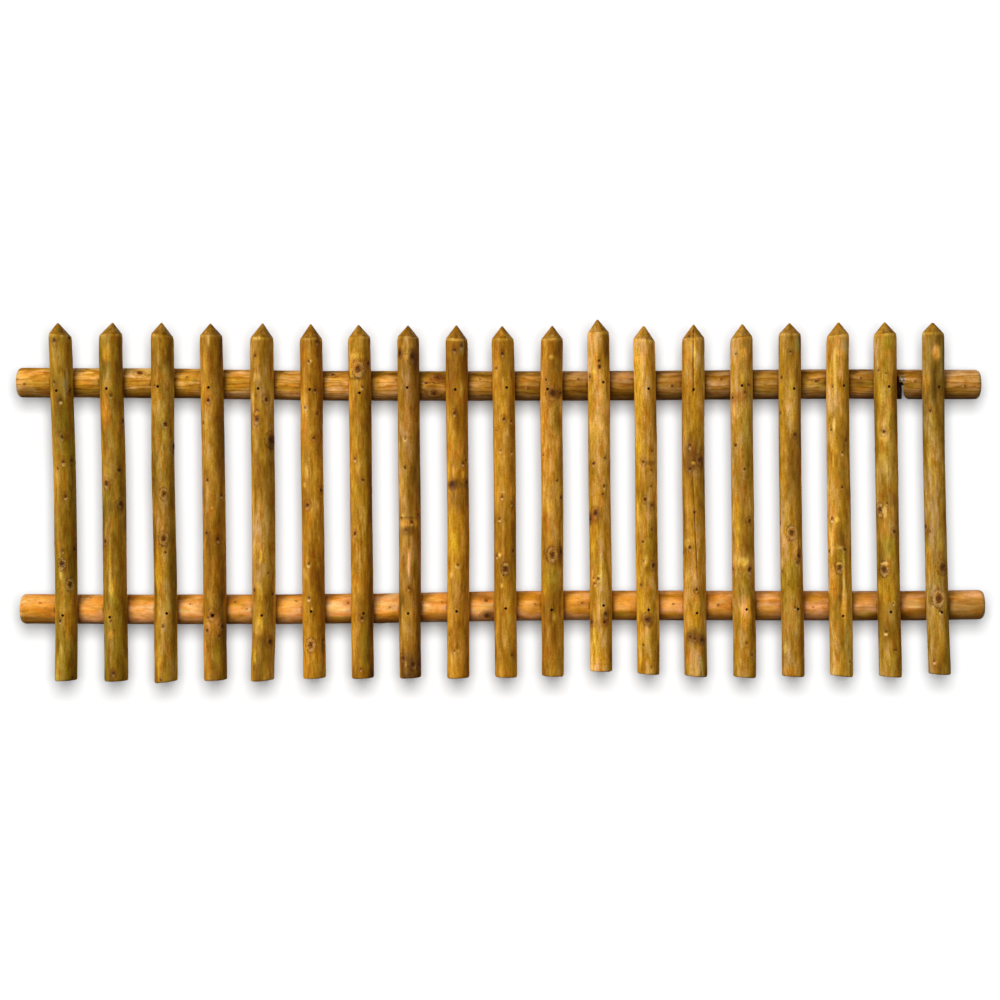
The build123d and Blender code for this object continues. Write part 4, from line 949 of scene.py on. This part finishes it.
        # rows right of the slit start at its rounded corner
        k = i
        while k < len(xs) and xs[k] < SLIT_X + 30:
            p = rowsXYZ[k]
            dz = np.where(lowz, p[:, 2] - SLIT_Z, 0)
            least = SLIT_X + wall(wall_r, dz) + SLIT_SLANT * p[:, 1] + 0.4 * (k - i + 1)
            p[:, 0] = np.where(lowz, np.maximum(p[:, 0], least), p[:, 0])
            k += 1
        k = i - 1
        while k >= 0 and xs[k] > SLIT_X - 16:
            p = rowsXYZ[k]
            dz = np.where(lowz, p[:, 2] - SLIT_Z, 0)
            most = SLIT_X + wall(wall_l, dz) + SLIT_SLANT * p[:, 1] - 0.3 * (i - k)
            p[:, 0] = np.where(lowz, np.minimum(p[:, 0], most), p[:, 0])
            k -= 1
        rowsXYZ[i:i] = [e[0] for e in extra]
        rowsF[i:i] = [e[1] for e in extra]

    nr = len(rowsXYZ)
    idx = np.arange(nr * N).reshape(nr, N)
    quads = np.stack([idx[:-1], idx[1:], np.roll(idx[1:], -1, 1), np.roll(idx[:-1], -1, 1)], -1).reshape(-1, 4)
    co = [np.concatenate(rowsXYZ)]
    keys = rowsF[0].keys()
    fl = {k: [np.concatenate([r[k] for r in rowsF])] for k in keys}
    count = nr * N
    more, tris = [], []
    for end, first, x_end, cz, sign in ((0, idx[0], x0, ends[0], -1), (1, idx[-1], x1, ends[1], 1)):
        previous = first
        base_row = rowsXYZ[0 if end == 0 else -1]
        base_f = rowsF[0 if end == 0 else -1]
        for frac in (0.93, 0.8, 0.62, 0.42, 0.2):
            ry, rz = base_row[:, 1] * frac, (base_row[:, 2] - cz) * frac
            sag = 0.35 * noise(ry / 9, rz / 9, seed + 95) * (1 - frac) + 0.1
            p = np.stack([np.full(N, x_end) - sign * np.abs(sag), ry, cz + rz], -1)
            g = {k: v.copy() for k, v in base_f.items()}
            g["grain"] = np.stack([ry + 17.0 + seed, rz - 23.0, np.full(N, x_end) + 91.0 * seed], -1)
            g["ring"] = np.hypot(ry - pith[0] * 0.3, rz - pith[1] * 0.3) / 2.9
            g["endm"] = np.ones(N)
            g["tone"] = np.ones((N, 3)) * np.array(STAIN["tan"]) * 0.72 * (1 + 0.2 * noise(ry / 8, rz / 8, seed + 96))[:, None]
            angle = np.arctan2(rz, ry)
            star = np.full(N, 12.0)
            for a0, wide in ((0.7, 1.0), (2.6, 0.7), (-1.9, 0.85), (-0.4, 0.5)):
                d = np.abs((angle - a0 + math.pi) % (2 * math.pi) - math.pi) * np.hypot(ry, rz) / wide
                star = np.minimum(star, d)
            g["crack"] = star
            co.append(p)
            for k in fl:
                fl[k].append(g[k])
            new = np.arange(count, count + N)
            count += N
            nxt = np.roll(new, -1)
            prv = np.roll(previous, -1)
            ring = (np.stack([previous, prv, nxt, new], -1) if end == 1 else np.stack([prv, previous, new, nxt], -1))
            more.append(ring)
            previous = new
        co.append(co[-1].mean(0)[None])
        for k in fl:
            fl[k].append(fl[k][-1][:1])
        c = count
        count += 1
        for a in range(N):
            b = (a + 1) % N
            tris.append((previous[a], previous[b], c) if end == 1 else (previous[b], previous[a], c))
    co = np.concatenate(co)
    co[:, 0] = np.clip(co[:, 0], x0, x1)
    fields = {k: np.concatenate(v) for k, v in fl.items()}
    # the mesh is wound so that its faces look outwards
    quads = np.concatenate([quads] + more)
    ob = make_mesh(name + "_wood", co, quads[:, ::-1], np.array(tris)[:, ::-1], fields)
    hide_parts(name)
    return ob


# ------------------------------------------------------------------- materials
class Graph:
    """Small help for laying out a material's nodes."""

    def __init__(self, name):
        self.mat = bpy.data.materials.new(name)
        self.mat.use_nodes = True
        self.nt = self.mat.node_tree
        self.nt.nodes.clear()
        self.count = 0

    def new(self, kind, **props):
        n = self.nt.nodes.new(kind)
        n.location = (220 * (self.count % 14), -260 * (self.count // 14))
        self.count += 1
        for k, v in props.items():
            setattr(n, k, v)
        return n

    def put(self, node, socket, value):
        s = node.inputs[socket]
        if isinstance(value, bpy.types.NodeSocket):
            self.nt.links.new(value, s)
        else:
            s.default_value = value

    def math(self, op, a, b=0.0, c=None, clamp=False):
        n = self.new("ShaderNodeMath", operation=op, use_clamp=clamp)
        self.put(n, 0, a)
        if len(n.inputs) > 1:
            self.put(n, 1, b)
        if c is not None:
            self.put(n, 2, c)
        return n.outputs[0]

    def vec(self, op, a, b=None, scale=None, out=0):
        n = self.new("ShaderNodeVectorMath", operation=op)
        self.put(n, 0, a)
        if b is not None:
            self.put(n, 1, b)
        if scale is not None:
            self.put(n, "Scale", scale)
        return n.outputs[out]

    def attr(self, name, out="Fac"):
        return self.new("ShaderNodeAttribute", attribute_name=name).outputs[out]

    def noise(self, vector, detail=2.0, rough=0.5, scale=1.0, colour=False):
        n = self.new("ShaderNodeTexNoise")
        self.put(n, "Vector", vector)
        n.inputs["Scale"].default_value = scale
        n.inputs["Detail"].default_value = detail
        n.inputs["Roughness"].default_value = rough
        return n.outputs["Color" if colour else "Fac"]

    def ramp(self, value, a, b, low=0.0, high=1.0, smooth=True):
        """Map Range from a..b to low..high."""
        n = self.new("ShaderNodeMapRange", interpolation_type="SMOOTHSTEP" if smooth else "LINEAR")
        n.clamp = True
        self.put(n, "Value", value)
        self.put(n, "From Min", a)
        self.put(n, "From Max", b)
        self.put(n, "To Min", low)
        self.put(n, "To Max", high)
        return n.outputs[0]

    def mix(self, fac, a, b, blend="MIX"):
        n = self.new("ShaderNodeMix", data_type="RGBA", blend_type=blend)
        self.put(n, 0, fac)
        for socket, value in ((6, a), (7, b)):
            if isinstance(value, bpy.types.NodeSocket):
                self.nt.links.new(value, n.inputs[socket])
            else:
                n.inputs[socket].default_value = tuple(value) + (1.0,) * (4 - len(value))
        return n.outputs[2]

    def finish(self, shader):
        out = self.new("ShaderNodeOutputMaterial")
        self.nt.links.new(shader, out.inputs["Surface"])
        return self.mat


def wood(name, ring_face, contrast, offset, most=0.55, red=0.6, blotch=0.0, dark_blue=0.20, gold_blue=0.45,
         most_blue=0.36):
    g = Graph(name)
    grain = g.vec("ADD", g.attr("grain", "Vector"), offset)
    tone = g.attr("tone", "Color")

    def scaled(across, along, detail=2.0, rough=0.5, shift=0.0):
        v = g.vec("MULTIPLY", grain, (1 / across, 1 / across, 1 / along))
        if shift:
            v = g.vec("ADD", v, (shift, shift * 1.7, -shift))
        return g.noise(v, detail, rough)

    fine = scaled(1.5, 30, 2.0, 0.6)
    medium = scaled(4.6, 26, 2.0, 0.55, 3.1)
    broad = scaled(13.0, 62, 2.0, 0.5, 7.7)
    mottle = scaled(3.4, 5.0, 3.0, 0.6, 12.3)
    hue = scaled(10.0, 46, 2.0, 0.5, 19.1)
    hue2 = scaled(8.0, 26, 2.0, 0.5, 23.7)

    # light and dark of the grain
    total = g.math("MULTIPLY_ADD", g.math("SUBTRACT", fine, 0.5), 0.28 * contrast, 1.0)
    total = g.math("MULTIPLY_ADD", g.math("SUBTRACT", medium, 0.5), 0.85 * contrast, total)
    total = g.math("MULTIPLY_ADD", g.math("SUBTRACT", broad, 0.5), 1.25 * contrast, total)
    total = g.math("MULTIPLY_ADD", g.math("SUBTRACT", mottle, 0.5), 0.75 * contrast, total)
    if blotch:
        patchy = scaled(15.0, 21.0, 2.0, 0.5, 53.9)
        total = g.math("MULTIPLY_ADD", g.math("SUBTRACT", patchy, 0.5), blotch, total)
    # dark fibres
    fibre = g.ramp(scaled(0.85, 60, 1.0, 0.5, 31.0), 0.60, 0.74)
    total = g.math("MULTIPLY", total, g.math("MULTIPLY_ADD", fibre, -0.06, 1.0))
    # small dark flecks
    fleck = g.ramp(g.noise(g.vec("MULTIPLY", grain, (0.42, 0.42, 0.24)), 1.0, 0.5), 0.66, 0.78)
    total = g.math("MULTIPLY", total, g.math("MULTIPLY_ADD", fleck, -0.38, 1.0))

    # growth rings
    sawn, endm = g.attr("sawn"), g.attr("endm")
    ring = g.attr("ring")
    ring = g.math("ADD", ring, g.math("MULTIPLY", g.math("SUBTRACT", broad, 0.5), 1.6))
    ring = g.math("ADD", ring, g.math("MULTIPLY", g.math("SUBTRACT", medium, 0.5), 0.35))
    part = g.math("FRACT", ring)
    late = g.math("MULTIPLY", g.ramp(part, 0.52, 0.86), g.ramp(part, 0.90, 1.0, 1.0, 0.0))
    amount = g.math("ADD", g.math("MULTIPLY", g.math("MAXIMUM", endm, 0.0), 0.42), ring_face)
    amount = g.math("MULTIPLY_ADD", sawn, 0.22, amount)
    amount = g.math("MINIMUM", amount, most)
    late_dark = g.math("MULTIPLY", late, amount)
    total = g.math("MULTIPLY", total, g.math("SUBTRACT", 1.0, late_dark))
    total = g.math("MAXIMUM", total, 0.12)

    colour = g.vec("SCALE", g.vec("MULTIPLY", tone, (1.05, 1.0, 0.62)), scale=total)
    # dark wood is more saturated than pale wood
    colour = g.mix(g.ramp(total, 1.06, 0.68), colour, g.vec("MULTIPLY", colour, (1.07, 0.94, dark_blue)))
    colour = g.mix(g.ramp(total, 1.0, 1.45), colour, g.vec("MULTIPLY", colour, (0.97, 1.05, 1.45)))
    # golden parts, and greyer ones
    gold = scaled(14.0, 64, 2.0, 0.55, 41.7)
    colour = g.mix(g.ramp(gold, 0.42, 0.60), colour, g.vec("MULTIPLY", colour, (1.01, 0.98, gold_blue)))
    colour = g.mix(g.ramp(gold, 0.42, 0.28), colour, g.vec("MULTIPLY", colour, (1.00, 0.97, 1.15)))
    # some streaks run redder, some paler and greyer
    colour = g.mix(g.ramp(hue, 0.50, 0.66, 0.0, red), colour, g.vec("MULTIPLY", colour, (1.02, 0.78, 0.40)))
    colour = g.mix(g.ramp(hue2, 0.54, 0.74, 0.0, 0.55), colour, g.vec("MULTIPLY", colour, (1.20, 1.25, 1.35)))
    # never bluer than weathered pine
    green = g.vec("DOT_PRODUCT", colour, (0.0, 1.0, 0.0), out="Value")
    top = g.new("ShaderNodeCombineXYZ")
    top.inputs[0].default_value = top.inputs[1].default_value = 9.0
    g.put(top, 2, g.math("MULTIPLY_ADD", sawn, 0.8, most_blue))
    colour = g.vec("MINIMUM", colour, g.vec("SCALE", top.outputs[0], scale=green))
    colour = g.mix(late_dark, colour, g.vec("MULTIPLY", colour, (1.0, 0.86, 0.7)))

    # knots
    wob = g.vec("SUBTRACT", g.noise(g.vec("MULTIPLY", grain, (0.34, 0.34, 0.28)), 2.0, 0.6, colour=True),
                (0.5, 0.5, 0.5))
    broken = g.ramp(g.noise(g.vec("MULTIPLY", grain, (0.22, 0.22, 0.16)), 2.0, 0.5), 0.36, 0.56)
    lift = None
    for n in range(LAYERS):
        place = g.new("ShaderNodeVectorMath", operation="MULTIPLY_ADD")
        g.put(place, 0, wob)
        g.put(place, 1, (2.2, 2.2, 0.0))
        g.put(place, 2, g.attr(f"knot{n}", "Vector"))
        sep = g.new("ShaderNodeSeparateXYZ")
        g.nt.links.new(place.outputs[0], sep.inputs[0])
        u, v, mask = sep.outputs
        looks = g.new("ShaderNodeSeparateXYZ")
        g.nt.links.new(g.attr(f"look{n}", "Vector"), looks.inputs[0])
        dark, lip_highlight, outline = looks.outputs
        uu = g.math("MULTIPLY", u, u)

        def distance(dv, dw):
            """Distance from a point dv above the middle, heights counted dw times."""
            w = g.math("MULTIPLY_ADD", v, dw, dv)
            return g.math("SQRT", g.math("MULTIPLY_ADD", w, w, uu))

        d = distance(0.0, 1.0)
        # halo of darker, redder wood, drawn out along the grain
        halo = g.math("MULTIPLY", g.ramp(distance(0.0, 0.62), 2.1, 0.5), mask)
        halo = g.math("MULTIPLY", halo, g.math("MULTIPLY_ADD", outline, 0.40, 0.30))
        colour = g.mix(halo, colour, g.vec("MULTIPLY", colour, (0.64, 0.41, 0.12)))
        # fibres bent round the knot leave a broken outline, darker on the left
        side = g.ramp(u, -1.3, 1.3, 1.0, 0.30)
        line = g.math("MULTIPLY", g.ramp(d, 1.72, 2.05), g.ramp(d, 2.50, 2.12))
        line = g.math("MULTIPLY", g.math("MULTIPLY", line, outline), g.math("MULTIPLY", mask, broken))
        line = g.math("MULTIPLY", line, side)
        colour = g.mix(line, colour, g.vec("MULTIPLY", colour, (0.24, 0.14, 0.08)))
        # a pale ring inside the outline of the large ones
        pale = g.math("MULTIPLY", g.ramp(d, 1.05, 1.45), g.ramp(d, 1.95, 1.65))
        pale = g.math("MULTIPLY", pale, g.math("MULTIPLY", g.ramp(outline, 0.65, 0.95, 0.0, 0.62), mask))
        pale = g.math("MULTIPLY", g.math("MULTIPLY", pale, broken), g.math("SUBTRACT", 1.25, side))
        colour = g.mix(pale, colour, (0.74, 0.47, 0.17))
        # a pale lip below, a painted highlight
        lip = g.math("MULTIPLY", g.ramp(distance(1.30, 1.0), 1.0, 0.2), lip_highlight)
        lip = g.math("MULTIPLY", lip, g.math("MULTIPLY", mask, 0.75))
        colour = g.mix(lip, colour, (0.78, 0.52, 0.22))
        # the core
        core = g.math("MULTIPLY", g.ramp(d, 1.20, 0.50), g.math("MULTIPLY", dark, mask))
        inner = g.mix(g.ramp(d, 0.2, 0.9), (0.048, 0.014, 0.003), (0.125, 0.040, 0.007))
        colour = g.mix(g.math("MULTIPLY", core, 0.90), colour, inner)
        bit = g.math("MULTIPLY_ADD", core, -0.5, g.math("MULTIPLY", lip, 0.5))
        bit = g.math("MULTIPLY_ADD", line, -0.4, bit)
        lift = bit if lift is None else g.math("ADD", lift, bit)

    # drying cracks
    crack = g.math("ABSOLUTE", g.math("MULTIPLY_ADD", g.math("SUBTRACT", fine, 0.5), 1.4, g.attr("crack")))
    gap = g.ramp(crack, 1.15, 0.45)
    colour = g.mix(g.math("MULTIPLY", gap, 0.94), colour, (0.020, 0.008, 0.004))
    edge = g.math("MULTIPLY", g.ramp(crack, 3.2, 1.4), 0.35)
    colour = g.mix(edge, colour, g.vec("MULTIPLY", colour, (0.60, 0.48, 0.38)))
    # end grain: greyer, speckled
    speck = g.noise(g.vec("MULTIPLY", grain, (1.1, 1.1, 1.1)), 2.0, 0.6)
    ends = g.math("MULTIPLY", endm, g.ramp(speck, 0.35, 0.7, 0.1, 0.6))
    colour = g.mix(ends, colour, g.vec("MULTIPLY", colour, (0.72, 0.70, 0.72)))
    # saw marks on the back
    marks = g.noise(g.vec("MULTIPLY", grain, (0.05, 0.05, 0.55)), 1.0, 0.5)
    colour = g.mix(g.math("MULTIPLY", sawn, g.ramp(marks, 0.5, 0.68, 0.0, 0.35)), colour,
                   g.vec("MULTIPLY", colour, (0.70, 0.66, 0.60)))
    # painted shade in the screw bores, the slit and the hollow beside it
    colour = g.mix(g.attr("hole"), colour, g.vec("MULTIPLY", colour, (0.24, 0.15, 0.09)))

    height = g.math("MULTIPLY_ADD", g.math("SUBTRACT", fine, 0.5), 0.55, g.math("MULTIPLY", medium, 0.7))
    height = g.math("MULTIPLY_ADD", fibre, -0.30, height)
    height = g.math("MULTIPLY_ADD", late, -0.16, height)
    height = g.math("MULTIPLY_ADD", mottle, 0.25, height)
    height = g.math("ADD", height, lift)
    height = g.math("MULTIPLY_ADD", g.math("MULTIPLY", sawn, marks), 0.6, height)
    bump = g.new("ShaderNodeBump")
    bump.inputs["Strength"].default_value = 0.32
    bump.inputs["Distance"].default_value = 0.0009
    g.nt.links.new(height, bump.inputs["Height"])

    rough = g.math("MULTIPLY_ADD", medium, 0.35, 0.45, clamp=True)
    bsdf = g.new("ShaderNodeBsdfPrincipled")
    g.nt.links.new(colour, bsdf.inputs["Base Color"])
    g.nt.links.new(rough, bsdf.inputs["Roughness"])
    g.nt.links.new(bump.outputs[0], bsdf.inputs["Normal"])
    bsdf.inputs["Specular IOR Level"].default_value = 0.10
    return g.finish(bsdf.outputs[0])


WALL_Y, FLOOR_Z = 0.40, -0.55


def steel(name):
    """Zinc-plated screws, dulled and dusty."""
    g = Graph(name)
    place = g.new("ShaderNodeTexCoord").outputs["Object"]
    spots = g.noise(place, 3.0, 0.6, scale=900.0)
    stains = g.noise(place, 2.0, 0.5, scale=160.0)
    colour = g.mix(g.ramp(spots, 0.4, 0.65), (0.060, 0.034, 0.016), (0.022, 0.011, 0.005))
    colour = g.mix(g.ramp(stains, 0.52, 0.70, 0.0, 0.7), colour, (0.050, 0.020, 0.008))
    bsdf = g.new("ShaderNodeBsdfPrincipled")
    bsdf.inputs["Metallic"].default_value = 0.60
    g.nt.links.new(colour, bsdf.inputs["Base Color"])
    g.nt.links.new(g.ramp(spots, 0.3, 0.7, 0.60, 0.82), bsdf.inputs["Roughness"])
    bump = g.new("ShaderNodeBump")
    bump.inputs["Strength"].default_value = 0.3
    bump.inputs["Distance"].default_value = 0.0002
    g.nt.links.new(spots, bump.inputs["Height"])
    g.nt.links.new(bump.outputs[0], bsdf.inputs["Normal"])
    return g.finish(bsdf.outputs[0])


def paper(name, glow, colour=0.8, one_sided=True, even=0.0):
    """White studio paper, lit a little from behind."""
    g = Graph(name)
    place = g.new("ShaderNodeTexCoord").outputs["Object"]
    n = g.noise(place, 2.0, 0.5, scale=4.0)
    white = g.ramp(n, 0.3, 0.7, colour * 0.995, colour)
    bsdf = g.new("ShaderNodeBsdfDiffuse")
    mix = g.new("ShaderNodeCombineColor")
    for k in range(3):
        g.nt.links.new(white, mix.inputs[k])
    g.nt.links.new(mix.outputs[0], bsdf.inputs[0])
    em = g.new("ShaderNodeEmission")
    em.inputs["Strength"].default_value = glow
    if even:
        # the sheet glows a little more away from the middle, so that it is evenly white
        off = g.vec("SUBTRACT", place, (CAMERA[0] / 1000, WALL_Y, CAMERA[2] / 1000))
        far = g.math("DIVIDE", g.vec("DOT_PRODUCT", off, off, out="Value"), (WALL_Y - CAMERA[1] / 1000) ** 2)
        fall = g.math("POWER", g.math("ADD", far, 1.0), -2.0)
        g.nt.links.new(g.math("MULTIPLY_ADD", g.math("SUBTRACT", 1.0, fall), even, glow), em.inputs["Strength"])
    add = g.new("ShaderNodeAddShader")
    g.nt.links.new(bsdf.outputs[0], add.inputs[0])
    g.nt.links.new(em.outputs[0], add.inputs[1])
    shader = add.outputs[0]
    if one_sided:
        clear = g.new("ShaderNodeBsdfTransparent")
        geo = g.new("ShaderNodeNewGeometry")
        pick = g.new("ShaderNodeMixShader")
        g.nt.links.new(geo.outputs["Backfacing"], pick.inputs[0])
        g.nt.links.new(shader, pick.inputs[1])
        g.nt.links.new(clear.outputs[0], pick.inputs[2])
        shader = pick.outputs[0]
    return g.finish(shader)


# ------------------------------------------------------------------- the fence
PICKET_WOOD = wood("picket wood", 0.08, 1.12, (0.0, 0.0, 0.0), red=0.85, blotch=0.45, dark_blue=0.08)
TOP_WOOD = wood("top rail wood", 0.36, 0.66, (83.0, 41.0, 7.0), 0.7, 0.75, 0.9, 0.35, 0.80)
BOTTOM_WOOD = wood("bottom rail wood", 0.06, 0.55, (21.0, 67.0, 3.0), 0.55, 0.75, 0.7, 0.45, 0.80)
SCREW_STEEL = steel("screw steel")

fence = []
for number in range(19):
    piece = picket(number)
    piece.data.materials.append(PICKET_WOOD)
    fence.append(piece)
for piece in (
        rail("top_rail", TOP_RAIL_X0, TOP_RAIL_LINE, TOP_RAIL_ENDS, TOP_KNOTS, TOP_PATCHES,
             ("tan", "pink", 1.06, "honey", 0.25), TOP_FADE, 3, (12.0, -22.0), 5.2, True),
        rail("bottom_rail", 0.0, BOTTOM_RAIL_LINE, BOTTOM_RAIL_ENDS, BOTTOM_KNOTS, BOTTOM_PATCHES,
             ("salmon", "salmon", 1.08, "peach", 0.35), BOTTOM_FADE, 4, (8.0, 3.0), 3.8, False)):
    piece.data.materials.append(TOP_WOOD if piece.name.startswith("top") else BOTTOM_WOOD)
    fence.append(piece)

for name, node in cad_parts.items():
    if node.type != "MESH":
        continue
    node.data.materials.clear()
    if "screws" in name:
        node.data.materials.append(SCREW_STEEL)
        fence.append(node)
    else:
        node.data.materials.append(TOP_WOOD if "top" in name else BOTTOM_WOOD if "bottom" in name else PICKET_WOOD)

# ---------------------------------------------------------- backdrop and floor
scene = bpy.context.scene


def plate(name, corners, material):
    me = bpy.data.meshes.new(name)
    me.from_pydata(corners, [], [(0, 1, 2, 3)])
    me.update()
    me.materials.append(material)
    ob = bpy.data.objects.new(name, me)
    scene.collection.objects.link(ob)
    return ob


wall = plate("backdrop", [(-14, WALL_Y, -3.0), (16, WALL_Y, -3.0), (16, WALL_Y, 9.0), (-14, WALL_Y, 9.0)],
             paper("white paper", 0.0, 0.50, even=0.96))
floor = plate("floor", [(-14, -12, FLOOR_Z), (16, -12, FLOOR_Z), (16, WALL_Y, FLOOR_Z), (-14, WALL_Y, FLOOR_Z)],
              paper("pale floor", 0.90, 0.82, one_sided=False))
for ob in (wall, floor):
    ob.visible_shadow = False
    ob.visible_diffuse = False
    ob.visible_glossy = False

# -------------------------------------------------------------------- lighting
only_fence = bpy.data.collections.new("lit fence")
for ob in fence:
    only_fence.objects.link(ob)
only_paper = bpy.data.collections.new("lit paper")
only_paper.objects.link(wall)
only_paper.objects.link(floor)


def direction(az, el):
    """Towards the light: az from -Y towards +X, el above the level."""
    a, e = math.radians(az), math.radians(el)
    return (math.sin(a) * math.cos(e), -math.cos(a) * math.cos(e), math.sin(e))


def sun(name, az, el, strength, angle, colour=(1, 1, 1), shadow=True):
    data = bpy.data.lights.new(name, "SUN")
    data.energy, data.angle, data.color = strength, math.radians(angle), colour
    data.use_shadow = shadow
    ob = bpy.data.objects.new(name, data)
    scene.collection.objects.link(ob)
    from mathutils import Vector
    ob.rotation_euler = Vector(direction(az, el)).to_track_quat("Z", "Y").to_euler()
    ob.light_linking.receiver_collection = only_fence
    return ob


sun("key", -46, 17, 3.1, 25)
sun("left side", -88, 12, 0.42, 30, shadow=False)
sun("right side", 75, 18, 0.42, 30, shadow=False)
sun("back", 155, 30, 0.9, 20)
front = sun("front", -22, 8, 0.55, 20)
only_rails = bpy.data.collections.new("lit rails")
for ob in fence[19:21]:
    only_rails.objects.link(ob)
front.light_linking.receiver_collection = only_rails

data = bpy.data.lights.new("right end", "AREA")
data.shape, data.size, data.energy = "DISK", 1.2, 8.0
ob = bpy.data.objects.new("right end", data)
scene.collection.objects.link(ob)
ob.location = (3.4, -1.6, 0.6)
from mathutils import Vector
ob.rotation_euler = (Vector((3.4, -1.6, 0.6)) - Vector((2.2, 0, 0.25))).to_track_quat("Z", "Y").to_euler()
ob.light_linking.receiver_collection = only_fence

# soft shadow of the fence on the paper behind it
for name, size, energy, across, up in (("drop", 0.64, 354.0, 0.0, 0.44), ("drop left", 0.46, 165.0, -0.22, 0.0),
                                       ("drop right", 0.46, 165.0, 0.22, 0.0)):
    data = bpy.data.lights.new(name, "AREA")
    data.shape, data.size, data.energy = "DISK", size, energy
    ob = bpy.data.objects.new(name, data)
    scene.collection.objects.link(ob)
    ob.location = (CAMERA[0] / 1000 + across, CAMERA[1] / 1000, CAMERA[2] / 1000 + up)
    ob.rotation_euler = (math.radians(90), 0, 0)
    ob.light_linking.receiver_collection = only_paper
    ob.light_linking.blocker_collection = only_fence

world = bpy.data.worlds.new("studio")
scene.world = world
world.use_nodes = True
nt = world.node_tree
nt.nodes.clear()
out = nt.nodes.new("ShaderNodeOutputWorld")
seen, fill = nt.nodes.new("ShaderNodeBackground"), nt.nodes.new("ShaderNodeBackground")
seen.inputs["Color"].default_value = (1, 1, 1, 1)
seen.inputs["Strength"].default_value = 1.0
fill.inputs["Color"].default_value = (1, 1, 1, 1)
fill.inputs["Strength"].default_value = 0.12
path, pick = nt.nodes.new("ShaderNodeLightPath"), nt.nodes.new("ShaderNodeMixShader")
nt.links.new(path.outputs["Is Camera Ray"], pick.inputs[0])
nt.links.new(fill.outputs[0], pick.inputs[1])
nt.links.new(seen.outputs[0], pick.inputs[2])
nt.links.new(pick.outputs[0], out.inputs["Surface"])

scene.view_settings.view_transform = "Standard"
scene.view_settings.look = "None"
scene.view_settings.exposure = 0.0
scene.view_settings.gamma = 1.0

# ---------------------------------------------------------------------- camera
data = bpy.data.cameras.new("camera")
data.sensor_width = 36.0
data.lens = FOCAL_PX / 1000.0 * 36.0
data.clip_end = 60.0
camera = bpy.data.objects.new("camera", data)
scene.collection.objects.link(camera)
camera.location = [v / 1000 for v in CAMERA]
camera.rotation_euler = (math.radians(90), 0, 0)
scene.camera = camera
